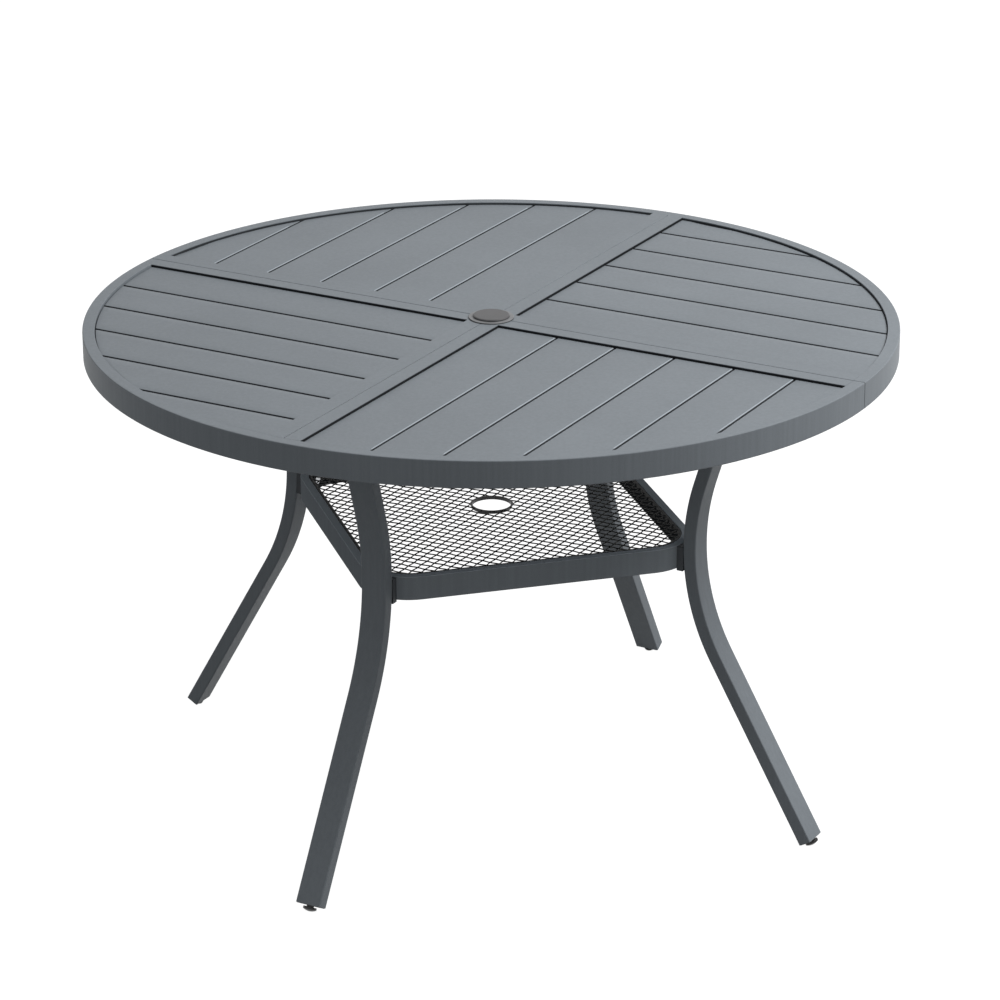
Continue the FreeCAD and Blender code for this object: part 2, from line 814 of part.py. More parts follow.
def make_shelf_bolt():
    """Bolt from inside the frame's corner at +X into the leg."""
    inner_radius = shelf_corner_radius - shelf_bar_thickness
    seat = SHELF_CORNER - shelf_bar_thickness - seat_gap(shelf_bolt_head_across, inner_radius)
    leg_face = WAIST_RADIUS - leg_depth / 2
    length = leg_face - seat + leg_wall + shelf_bolt_reach
    head = hexagon(shelf_bolt_head_across, -shelf_bolt_head_height, 0)
    shank = Part.makeCylinder(shelf_bolt_diameter / 2, length)
    bolt = head.fuse(shank).removeSplitter()
    return placed(bolt, Vector(seat, 0, SHELF_BOLT_HEIGHT), Rotation(Vector(0, 1, 0), 90))


# All nodes

def top_nodes():
    """Rim, rails, panels and ribs of the two half tops."""
    nodes = {}
    rim = make_rim()
    for end in ("right", "left"):
        rim = rim.cut(strap_screw_holes(SIDES[end]))
    panel = make_panel()
    rib = make_rib()
    for half, side in (("a", 1), ("b", -1)):
        nodes["rim_" + half] = rim.common(half_space(side))
        nodes["seam_rail_" + half] = make_seam_rail(side)
        nodes["mid_rail_" + half + "_left"] = make_mid_rail(side, side)
        nodes["mid_rail_" + half + "_right"] = make_mid_rail(side, -side)
    for index, place in enumerate(("back_right", "back_left", "front_left", "front_right")):
        nodes["panel_" + place] = quarter(panel, index)
        nodes["panel_rib_" + place] = quarter(rib, index)
    return nodes


def quarter(shape, index):
    """Copy of a quarter's piece in another quarter, with the slats turned pinwheel fashion."""
    return turned(shape, 90 * index)


def middle_nodes():
    """Hub plate, umbrella ring, nut and cap."""
    return {
        "hub_plate": make_hub_plate(),
        "hub_bolts": make_bolt_group(hub_bolt_places(), HUB_BOTTOM, hub_plate_thickness),
        "umbrella_ring": make_umbrella_ring(),
        "ring_nut": make_ring_nut(),
        "umbrella_cap": make_cap(),
    }


def strap_nodes():
    """Straps and screws at both ends of the seam."""
    nodes = {}
    for name in ("right", "left"):
        nodes["rim_strap_" + name] = turned(make_strap(), SIDES[name])
        nodes["strap_screws_" + name] = turned(make_strap_screws(), SIDES[name])
    return nodes


def leg_nodes():
    """Legs with their plates, bolts, plugs and feet."""
    nodes = {}
    envelope = make_leg_envelope()
    pieces = {
        "leg_": make_leg(envelope),
        "leg_plate_": make_leg_plate(),
        "leg_bolts_": make_bolt_group(leg_bolt_places(0), LEG_PLATE_BOTTOM, leg_plate_thickness),
        "leg_plug_": make_leg_plug(),
        "foot_": make_foot(),
        "shelf_spacer_": make_shelf_spacer(envelope),
    }
    for name, turn in SIDES.items():
        for prefix, piece in pieces.items():
            nodes[prefix + name] = turned(piece, turn)
    return nodes


def shelf_nodes():
    """Shelf frame, mesh, ring and corner bolts."""
    bolts = [turned(make_shelf_bolt(), turn) for turn in SIDES.values()]
    return {
        "shelf_frame": make_shelf_frame(),
        "shelf_mesh": make_shelf_mesh(),
        "shelf_ring": make_shelf_ring(),
        "shelf_bolts": Part.makeCompound(bolts),
    }


def main():
    """Build every node and write it to its own file."""
    os.makedirs("parts", exist_ok=True)
    nodes = {}
    for group in (top_nodes, middle_nodes, strap_nodes, leg_nodes, shelf_nodes):
        nodes.update(group())
    for name, shape in nodes.items():
        shape.exportStep("parts/" + name + ".step")
        print(name, len(shape.Solids), round(shape.Volume), shape.isValid())
    print(len(nodes), "nodes")


main()
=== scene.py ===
"""Round metal umbrella table in a plain pale studio.

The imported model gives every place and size. The pieces that show round or pressed metal are made
again as smooth surfaces, worked out with numpy on grids, and the other pieces keep their solids.
All of them get painted, plated or moulded finishes made of shader nodes. Lengths are in metres.
"""

import json
import logging
import math
from dataclasses import dataclass
from enum import Enum

import bmesh
import bpy
import numpy as np
from mathutils import Matrix, Vector

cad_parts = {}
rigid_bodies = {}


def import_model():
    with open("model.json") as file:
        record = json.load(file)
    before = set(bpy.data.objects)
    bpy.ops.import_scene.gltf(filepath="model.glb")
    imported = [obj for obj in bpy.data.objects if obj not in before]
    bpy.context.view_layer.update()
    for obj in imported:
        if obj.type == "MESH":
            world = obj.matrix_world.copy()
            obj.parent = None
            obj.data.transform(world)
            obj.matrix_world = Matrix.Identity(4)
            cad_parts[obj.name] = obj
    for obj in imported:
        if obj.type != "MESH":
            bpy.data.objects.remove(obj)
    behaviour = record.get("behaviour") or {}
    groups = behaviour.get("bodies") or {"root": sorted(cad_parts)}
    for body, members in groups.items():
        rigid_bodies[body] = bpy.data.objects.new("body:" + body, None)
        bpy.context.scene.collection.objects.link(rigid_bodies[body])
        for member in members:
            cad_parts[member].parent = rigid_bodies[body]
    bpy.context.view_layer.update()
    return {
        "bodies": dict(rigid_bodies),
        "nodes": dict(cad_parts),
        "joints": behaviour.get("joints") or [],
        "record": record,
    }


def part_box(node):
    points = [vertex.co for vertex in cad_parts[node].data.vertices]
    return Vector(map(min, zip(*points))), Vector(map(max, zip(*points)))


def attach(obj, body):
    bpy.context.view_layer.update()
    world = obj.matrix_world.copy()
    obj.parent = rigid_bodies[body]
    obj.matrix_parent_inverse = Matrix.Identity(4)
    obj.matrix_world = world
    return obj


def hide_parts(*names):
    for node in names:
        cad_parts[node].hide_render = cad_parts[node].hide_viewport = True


LOG = logging.getLogger("umbrella_table")
MILLIMETRE = 0.001
MERGE_DISTANCE = 1e-6
PLACE_DIGITS = 9
FLAT_FACE_WEIGHT = 80

Socket = bpy.types.NodeSocket
Colour = tuple[float, float, float]


class Side(Enum):
    """The four directions in which legs stand, as turns about the upright axis in degrees."""

    RIGHT = 0
    BACK = 90
    LEFT = 180
    FRONT = 270

    @property
    def label(self) -> str:
        """Name that the side's nodes end with."""
        return self.name.lower()


class Slot(Enum):
    """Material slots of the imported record."""

    COAT = "coat"
    MESH_COAT = "mesh_coat"
    RING_PLASTIC = "ring_plastic"
    BLACK_PLASTIC = "black_plastic"
    ZINC = "zinc"


class Body(Enum):
    """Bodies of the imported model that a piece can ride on."""

    TABLE = "table"
    CAP = "cap"


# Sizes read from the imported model


@dataclass(frozen=True)
class TableSizes:
    """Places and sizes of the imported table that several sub-assemblies share."""

    height: float
    top_radius: float
    rim_inner_radius: float
    rim_bottom: float
    seam_half: float
    band_half: float
    panel_top: float
    leg_plate_bottom: float
    flange_top: float

    @classmethod
    def from_frame(cls) -> "TableSizes":
        """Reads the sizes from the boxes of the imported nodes.

        Returns:
            The sizes, in metres.
        """
        rim_low, rim_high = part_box("rim_a")
        rail_low, rail_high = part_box("seam_rail_a")
        return cls(
            height=rim_high.z,
            top_radius=rim_high.x,
            rim_inner_radius=rail_high.x,
            rim_bottom=rim_low.z,
            seam_half=rail_low.y,
            band_half=rail_high.y,
            panel_top=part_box("panel_back_right")[1].z,
            leg_plate_bottom=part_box("leg_plate_right")[0].z,
            flange_top=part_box("umbrella_ring")[1].z,
        )


# Surfaces


def turned(points: np.ndarray, degrees: float) -> np.ndarray:
    """Points turned about the upright axis.

    Args:
        points: Array whose last axis holds x, y and z.
        degrees: Turn, anticlockwise seen from above.

    Returns:
        The turned points.
    """
    angle = math.radians(degrees)
    cos, sin = math.cos(angle), math.sin(angle)
    x, y, z = points[..., 0], points[..., 1], points[..., 2]
    return np.stack([x * cos - y * sin, x * sin + y * cos, z], axis=-1)


def around(radius: np.ndarray, angle: np.ndarray, height: np.ndarray) -> np.ndarray:
    """Points round the upright axis, at (r cos t, r sin t, height).

    Args:
        radius: Distances r from the axis.
        angle: Angles t, in radians.
        height: Heights. All three are arrays that broadcast to one shape.

    Returns:
        The points, with x, y and z on the last axis.
    """
    x, y = radius * np.cos(angle), radius * np.sin(angle)
    return np.stack([x, y, np.broadcast_to(height, x.shape)], axis=-1)


def at_height(plan: np.ndarray, height: float) -> np.ndarray:
    """Points of a plan view, raised to a height.

    Args:
        plan: Array with x and y on its last axis.
        height: Their height.

    Returns:
        The array with x, y and the height on its last axis.
    """
    return np.concatenate([plan, np.full_like(plan[..., :1], height)], axis=-1)


def rounded_outline(
    corners: list[tuple[float, float]], radii: list[float], steps: int
) -> np.ndarray:
    """Closed outline whose corners are arcs.

    At each corner the arc starts and ends where a circle of the corner's radius touches both
    sides, which is the radius times the tangent of half the turn away from the corner. Points on
    the arc are its centre plus the radius times (cos t, sin t).

    Args:
        corners: Corner points in order.
        radii: One radius for each corner, where 0 leaves the corner sharp.
        steps: Segments of each arc.

    Returns:
        Array of points, one row each.
    """
    points = []
    count = len(corners)
    for index, radius in enumerate(radii):
        corner = np.array(corners[index], float)
        if radius == 0.0:
            points.append(corner[None, :])
            continue
        before = np.array(corners[index - 1], float) - corner
        after = np.array(corners[(index + 1) % count], float) - corner
        before /= np.linalg.norm(before)
        after /= np.linalg.norm(after)
        half_opening = 0.5 * math.acos(float(np.clip(before @ after, -1.0, 1.0)))
        middle = before + after
        centre = corner + middle / np.linalg.norm(middle) * radius / math.sin(half_opening)
        start = corner + before * radius / math.tan(half_opening) - centre
        end = corner + after * radius / math.tan(half_opening) - centre
        first = math.atan2(start[1], start[0])
        sweep = (math.atan2(end[1], end[0]) - first + math.pi) % (2 * math.pi) - math.pi
        t = first + sweep * np.linspace(0.0, 1.0, steps + 1)
        points.append(centre + radius * np.stack([np.cos(t), np.sin(t)], axis=1))
    return np.concatenate(points)


def rounded_rectangle(half_across: float, half_up: float, radius: float, steps: int) -> np.ndarray:
    """Closed outline of a rectangle about the origin with four equal round corners.

    Args:
        half_across: Half of the width.
        half_up: Half of the height.
        radius: Radius of the corners.
        steps: Segments of each corner.

    Returns:
        Array of (across, up) points.
    """
    quarters = ((1, -1), (1, 1), (-1, 1), (-1, -1))
    corners = [(half_across * across, half_up * up) for across, up in quarters]
    return rounded_outline(corners, [radius] * len(corners), steps)


class Surface:
    """Points and faces of one piece, gathered from grids before they become a mesh."""

    def __init__(self) -> None:
        self.points: list[np.ndarray] = []
        self.faces: list[np.ndarray] = []
        self.count = 0

    def add(self, points: np.ndarray, faces: list[np.ndarray]) -> "Surface":
        """Adds points and faces.

        Args:
            points: Array of x, y and z rows.
            faces: Arrays of corner numbers, each with as many columns as its faces have corners.

        Returns:
            This surface.
        """
        self.points.append(points.reshape(-1, 3))
        self.faces.extend(group + self.count for group in faces)
        self.count += points.reshape(-1, 3).shape[0]
        return self

    def add_grid(
        self,
        grid: np.ndarray,
        loop_rows: bool = False,
        loop_columns: bool = False,
        capped: bool = False,
    ) -> "Surface":
        """Adds a grid of points, joined by four-sided faces.

        Args:
            grid: Array of rows by columns by 3.
            loop_rows: Joins the last row to the first.
            loop_columns: Joins the last column to the first.
            capped: Closes the first and the last row with one face each.

        Returns:
            This surface.
        """
        rows, columns = grid.shape[:2]
        number = np.arange(rows * columns).reshape(rows, columns)
        lower = number if loop_rows else number[:-1]
        upper = np.roll(number, -1, axis=0) if loop_rows else number[1:]
        if not loop_columns:
            quads = [lower[:, :-1], lower[:, 1:], upper[:, 1:], upper[:, :-1]]
        else:
            quads = [lower, np.roll(lower, -1, axis=1), np.roll(upper, -1, axis=1), upper]
        faces = [np.stack(quads, axis=-1).reshape(-1, 4)]
        if capped:
            faces += [number[0][::-1][None, :], number[-1][None, :]]
        return self.add(grid, faces)

    def to_object(self, name: str, sharp_degrees: float = 32.0) -> bpy.types.Object:
        """Makes the mesh and its object, with doubles merged and faces turned outwards.

        Args:
            name: Name of the piece.
            sharp_degrees: Edges that turn by more than this stay sharp.

        Returns:
            The new object, at the origin.
        """
        points = np.concatenate(self.points)
        corners = np.concatenate([group.ravel() for group in self.faces])
        sizes = np.concatenate([np.full(len(group), group.shape[1]) for group in self.faces])
        mesh = bpy.data.meshes.new(name)
        mesh.vertices.add(len(points))
        mesh.vertices.foreach_set("co", points.ravel())
        mesh.loops.add(len(corners))
        mesh.loops.foreach_set("vertex_index", corners)
        mesh.polygons.add(len(sizes))
        mesh.polygons.foreach_set("loop_start", np.concatenate([[0], np.cumsum(sizes)[:-1]]))
        mesh.update(calc_edges=True)
        bench = bmesh.new()
        bench.from_mesh(mesh)
        bmesh.ops.remove_doubles(bench, verts=bench.verts, dist=MERGE_DISTANCE)
        bmesh.ops.dissolve_degenerate(bench, edges=bench.edges, dist=MERGE_DISTANCE / 2)
        bmesh.ops.recalc_face_normals(bench, faces=bench.faces)
        bench.to_mesh(mesh)
        bench.free()
        mesh.shade_smooth()
        mesh.set_sharp_from_angle(angle=math.radians(sharp_degrees))
        piece = bpy.data.objects.new(name, mesh)
        bpy.context.scene.collection.objects.link(piece)
        return piece


def revolved(outline: np.ndarray, steps: int) -> np.ndarray:
    """Grid of an outline turned about the upright axis.

    Args:
        outline: Array of (radius, height) points.
        steps: Points round the axis.

    Returns:
        Grid of steps rows, each of them a copy of the outline.
    """
    t = np.linspace(0.0, 2 * math.pi, steps, endpoint=False)[:, None]
    return around(outline[None, :, 0], t, outline[None, :, 1])


def weigh_normals(piece: bpy.types.Object) -> None:
    """Lets large faces set the shading at their borders, so that they look flat to the edge.

    Args:
        piece: The piece's object.
    """
    modifier = piece.modifiers.new("flat_faces", "WEIGHTED_NORMAL")
    modifier.keep_sharp = True
    modifier.weight = FLAT_FACE_WEIGHT


# Finishes


def tinted(colour: Colour, factor: float) -> Colour:
    """Colour with each channel multiplied by a factor and held to 1."""
    return tuple(min(1.0, channel * factor) for channel in colour)


class Shader:
    """Node tree of one material, with short calls for the nodes that the finishes share."""

    shade_colour: Colour = (0.006, 0.006, 0.007)
    noise_range = (0.3, 0.7)
    streak_draw = 0.03

    def __init__(self, name: str) -> None:
        self.material = bpy.data.materials.new(name)
        self.material.use_nodes = True
        self.tree = self.material.node_tree
        self.tree.nodes.clear()
        self.output = self.tree.nodes.new("ShaderNodeOutputMaterial")
        self.principled = self.tree.nodes.new("ShaderNodeBsdfPrincipled")
        self.feed(self.principled.outputs["BSDF"], self.output.inputs["Surface"])
        self.place = self.tree.nodes.new("ShaderNodeTexCoord").outputs["Object"]

    def feed(self, value: Socket | float | Colour, target: Socket) -> None:
        """Links a socket to an input, or sets a number or a colour on it.

        Args:
            value: What goes in.
            target: The input.
        """
        if isinstance(value, Socket):
            self.tree.links.new(value, target)
        elif isinstance(value, tuple):
            target.default_value = (*value, 1.0)
        else:
            target.default_value = value

    def noise(
        self,
        size: float,
        detail: float = 2.0,
        roughness: float = 0.5,
        place: Socket | None = None,
    ) -> Socket:
        """Soft noise on the piece's own coordinates.

        Args:
            size: Length of one wave, in metres.
            detail: Octaves of finer noise.
            roughness: Share that each finer octave adds.
            place: Coordinates to use instead of the plain ones.

        Returns:
            Socket that runs from about 0 to 1.
        """
        node = self.tree.nodes.new("ShaderNodeTexNoise")
        node.inputs["Scale"].default_value = 1.0 / size
        node.inputs["Detail"].default_value = detail
        node.inputs["Roughness"].default_value = roughness
        self.feed(self.place if place is None else place, node.inputs["Vector"])
        return node.outputs["Fac"]

    def streaks(self, size: float) -> Socket:
        """Noise drawn out upwards, so that it runs down upright faces in streaks.

        Args:
            size: Width of one streak.

        Returns:
            Socket that runs from about 0 to 1.
        """
        return self.noise(size, place=self.scaled_place((1.0, 1.0, self.streak_draw)))

    def spread(
        self,
        source: Socket,
        low: float,
        high: float,
        to_low: float = 0.0,
        to_high: float = 1.0,
    ) -> Socket:
        """Maps a range of values to another one, with the ends held.

        Args:
            source: Socket to read.
            low: Value that becomes to_low.
            high: Value that becomes to_high.
            to_low: Result at low.
            to_high: Result at high.

        Returns:
            Socket with the mapped value.
        """
        node = self.tree.nodes.new("ShaderNodeMapRange")
        node.interpolation_type = "SMOOTHSTEP"
        ends = {"From Min": low, "From Max": high, "To Min": to_low, "To Max": to_high}
        for name, value in ends.items():
            node.inputs[name].default_value = value
        self.feed(source, node.inputs["Value"])
        return node.outputs["Result"]

    def maths(self, operation: str, first: Socket, second: Socket | float = 0.0) -> Socket:
        """Result of a calculation.

        Args:
            operation: Name of the operation, such as MULTIPLY.
            first: Socket on the left.
            second: Socket or number on the right, which some operations don't read.

        Returns:
            Socket with the result.
        """
        node = self.tree.nodes.new("ShaderNodeMath")
        node.operation = operation
        self.feed(first, node.inputs[0])
        self.feed(second, node.inputs[1])
        return node.outputs[0]

    def blend(self, factor: Socket, low: Socket | Colour, high: Socket | Colour) -> Socket:
        """Colour between two others.

        Args:
            factor: Socket that is 0 at the low colour and 1 at the high one.
            low: First colour, as a socket or as red, green and blue.
            high: Second colour.

        Returns:
            Socket with the colour.
        """
        node = self.tree.nodes.new("ShaderNodeMix")
        node.data_type = "RGBA"
        self.feed(factor, node.inputs["Factor"])
        self.feed(low, node.inputs["A"])
        self.feed(high, node.inputs["B"])
        return node.outputs["Result"]

    def axis(self, name: str) -> Socket:
        """One coordinate of the shaded point: X, Y or Z."""
        node = self.tree.nodes.new("ShaderNodeSeparateXYZ")
        self.feed(self.place, node.inputs[0])
        return node.outputs[name]

    def scaled_place(self, scale: tuple[float, float, float]) -> Socket:
        """Place with each coordinate multiplied by a number of its own."""
        node = self.tree.nodes.new("ShaderNodeVectorMath")
        node.operation = "MULTIPLY"
        node.inputs[1].default_value = scale
        self.feed(self.place, node.inputs[0])
        return node.outputs["Vector"]

    def radius(self) -> Socket:
        """Distance of the shaded point from the upright axis."""
        node = self.tree.nodes.new("ShaderNodeVectorMath")
        node.operation = "LENGTH"
        self.feed(self.scaled_place((1.0, 1.0, 0.0)), node.inputs[0])
        return node.outputs["Value"]

    def dress(self, colour: Socket, rough: Socket, zones: tuple) -> None:
        """Links colour and roughness, with zones of painted shade in which the surface is dull and
        near black.

        Args:
            colour: Socket with the colour.
            rough: Socket with the roughness.
            zones: Zones of painted shade, each with a factor method.
        """
        if zones:
            depth = zones[0].factor(self)
            for zone in zones[1:]:
                depth = self.maths("MAXIMUM", depth, zone.factor(self))
            colour = self.blend(depth, colour, self.shade_colour)
            rough = self.maths("MAXIMUM", rough, depth)
        self.feed(colour, self.principled.inputs["Base Color"])
        self.feed(rough, self.principled.inputs["Roughness"])

    def bump(self, layers: list[tuple[Socket, float, float]]) -> None:
        """Stacks height layers on the surface.

        Args:
            layers: For each layer its height socket, its strength and its depth in metres.
        """
        normal = None
        for height, strength, depth in layers:
            node = self.tree.nodes.new("ShaderNodeBump")
            node.inputs["Strength"].default_value = strength
            node.inputs["Distance"].default_value = depth
            self.feed(height, node.inputs["Height"])
            if normal is not None:
                self.feed(normal, node.inputs["Normal"])
            normal = node.outputs["Normal"]
        self.feed(normal, self.principled.inputs["Normal"])


@dataclass(frozen=True)
class Recess:
    """Zone between two heights and inside a radius. Most such zones hold painted shade, where a
    narrow corner holds little light; some hold painted light.
    """

    low: float
    high: float
    radius: float
    blur: float
    share: float

    def factor(self, shader: Shader) -> Socket:
        """Share of the zone's painted colour at the shaded point.

        Args:
            shader: Shader that the zone goes into.

        Returns:
            Socket that is the zone's share inside it and 0 outside.
        """
        height = shader.axis("Z")
        below = shader.spread(height, self.high - self.blur, self.high, self.share, 0.0)
        above = shader.spread(height, self.low - self.blur, self.low)
        inside = shader.spread(shader.radius(), self.radius, self.radius + self.blur, 1.0, 0.0)
        return shader.maths("MULTIPLY", shader.maths("MULTIPLY", below, above), inside)


@dataclass(frozen=True)
class Seam:
    """Upright plane through the table's middle, beside which two pieces meet at a gap, with painted
    shade along it.
    """

    axis: str
    half_width: float
    blur: float
    share: float

    def factor(self, shader: Shader) -> Socket:
        """Share of the dark colour at the shaded point.

        Args:
            shader: Shader that the zone goes into.

        Returns:
            Socket that is the zone's share at the plane and 0 away from it.
        """
        away = shader.maths("ABSOLUTE", shader.axis(self.axis))
        return shader.spread(away, self.half_width, self.half_width + self.blur, self.share, 0.0)


@dataclass(frozen=True)
class InnerFace:
    """Inner face of the shelf's frame, under the mesh, where no light gets past the frame's top.

    Seen from above, the frame is a square on its corner. Its sides' coordinates are the sum and the
    difference of X and Y over the root of two, and the distance from the nearest corner's centre is
    the root of the sum of what their squares have past that centre.
    """

    centre: float
    reach: float
    blur: float = 0.5 * MILLIMETRE
    share: float = 0.82

    def factor(self, shader: Shader) -> Socket:
        """Share of the dark colour at the shaded point.

        Args:
            shader: Shader that the zone goes into.

        Returns:
            Socket that is the zone's share on the inner face and 0 on the others.
        """
        x, y = shader.axis("X"), shader.axis("Y")
        squares = []
        for operation in ("ADD", "SUBTRACT"):
            along = shader.maths("MULTIPLY", shader.maths(operation, x, y), math.sqrt(0.5))
            past = shader.maths("SUBTRACT", shader.maths("ABSOLUTE", along), self.centre)
            past = shader.maths("MAXIMUM", past, 0.0)
            squares.append(shader.maths("MULTIPLY", past, past))
        away = shader.maths("SQRT", shader.maths("ADD", *squares))
        return shader.spread(away, self.reach, self.reach + self.blur, self.share, 0.0)


@dataclass(frozen=True)
class PowderCoat:
    """Baked powder paint on metal: a fine sandy grain over a slow orange-peel wave.

    Its colour swings by the tint to each side, with the grain, with faint streaks down upright
    faces and with slow clouds. In its zones of painted shade, narrow corners and seams, the paint
    is dull and near black. In its zone of painted light, such as the lit lips of pressed grooves,
    it is lighter.
    """

    name: str
    colour: Colour
    roughness: float = 0.5
    swing: float = 0.06
    shine: float = 0.16
    tint: float = 0.08
    contrast: tuple[float, float] = (0.38, 0.62)
    grain: float = 0.8 * MILLIMETRE
    grain_octaves: float = 3.0
    grain_fineness: float = 0.65
    grain_depth: float = 0.05 * MILLIMETRE
    grain_strength: float = 0.3
    grain_share: float = 0.55
    streak: float = 5.0 * MILLIMETRE
    streak_share: float = 0.25
    cloud: float = 160.0 * MILLIMETRE
    cloud_share: float = 0.2
    peel: float = 5.0 * MILLIMETRE
    peel_depth: float = 0.06 * MILLIMETRE
    peel_strength: float = 0.1
    # The next three fields: how much lighter the zone of painted light is, the zones of painted
    # shade, and the zone of painted light.
    worn_gain: float = 1.8
    zones: tuple[Recess | Seam | InnerFace, ...] = ()
    worn: Recess | None = None

    def material(self) -> bpy.types.Material:
        """Builds the material.

        Returns:
            The material.
        """
        shader = Shader(self.name)
        grain = shader.noise(self.grain, self.grain_octaves, self.grain_fineness)
        peel = shader.noise(self.peel, detail=1.0)
        fine = shader.maths("MULTIPLY", grain, self.grain_share)
        streaks = shader.maths("MULTIPLY", shader.streaks(self.streak), self.streak_share)
        clouds = shader.maths("MULTIPLY", shader.noise(self.cloud), self.cloud_share)
        mottle = shader.maths("ADD", shader.maths("ADD", fine, streaks), clouds)
        dark, light = tinted(self.colour, 1.0 - self.tint), tinted(self.colour, 1.0 + self.tint)
        colour = shader.blend(shader.spread(mottle, *self.contrast), dark, light)
        # Painted light: inside this zone the colour is made lighter, standing in for light on lit
        # lips and faces.
        if self.worn:
            pale = tinted(self.colour, self.worn_gain)
            colour = shader.blend(self.worn.factor(shader), colour, pale)
        smooth, dull = self.roughness - self.swing, self.roughness + self.swing
        rough = shader.spread(grain, *shader.noise_range, smooth, dull)
        shader.dress(colour, rough, self.zones)
        shader.principled.inputs["Specular IOR Level"].default_value = self.shine
        shader.bump([
            (peel, self.peel_strength, self.peel_depth),
            (grain, self.grain_strength, self.grain_depth),
        ])
        return shader.material


@dataclass(frozen=True)
class Moulding:
    """Moulded plastic with a spark-eroded grain and faint flow marks."""

    name: str
    colour: Colour
    roughness: float
    swing: float = 0.05
    shine: float = 0.4
    tint: float = 0.12
    contrast: tuple[float, float] = (0.35, 0.65)
    grain: float = 0.5 * MILLIMETRE
    grain_fineness: float = 0.6
    grain_depth: float = 0.04 * MILLIMETRE
    grain_strength: float = 0.25
    flow: float = 18.0 * MILLIMETRE
    flow_octaves: float = 3.0
    # Zones of painted shade, such as where the piece stands on what lies below it.
    zones: tuple[Recess, ...] = ()

    def material(self) -> bpy.types.Material:
        """Builds the material.

        Returns:
            The material.
        """
        shader = Shader(self.name)
        grain = shader.noise(self.grain, roughness=self.grain_fineness)
        flow = shader.noise(self.flow, self.flow_octaves)
        dark, light = tinted(self.colour, 1.0 - self.tint), tinted(self.colour, 1.0 + self.tint)
        colour = shader.blend(shader.spread(flow, *self.contrast), dark, light)
        smooth, dull = self.roughness - self.swing, self.roughness + self.swing
        rough = shader.spread(flow, *shader.noise_range, smooth, dull)
        shader.dress(colour, rough, self.zones)
        shader.principled.inputs["Specular IOR Level"].default_value = self.shine
        shader.bump([(grain, self.grain_strength, self.grain_depth)])
        return shader.material


@dataclass(frozen=True)
class ZincPlate:
    """Bright zinc plating on steel, with spangle in patches and dull marks from handling."""

    name: str
    colour: Colour
    dark_share: float = 0.8
    contrast: tuple[float, float] = (0.35, 0.65)
    roughness: tuple[float, float] = (0.28, 0.45)
    spangle: float = 2.5 * MILLIMETRE
    grain: float = 0.3 * MILLIMETRE
    grain_depth: float = 0.02 * MILLIMETRE
    grain_strength: float = 0.15

    def material(self) -> bpy.types.Material:
        """Builds the material.

        Returns:
            The material.
        """
        shader = Shader(self.name)
        spangle = shader.noise(self.spangle)
        grain = shader.noise(self.grain)
        dark = tinted(self.colour, self.dark_share)
        colour = shader.blend(shader.spread(spangle, *self.contrast), dark, self.colour)
        rough = shader.spread(spangle, *shader.noise_range, *self.roughness)
        shader.dress(colour, rough, ())
        shader.principled.inputs["Metallic"].default_value = 1.0
        shader.bump([(grain, self.grain_strength, self.grain_depth)])
        return shader.material


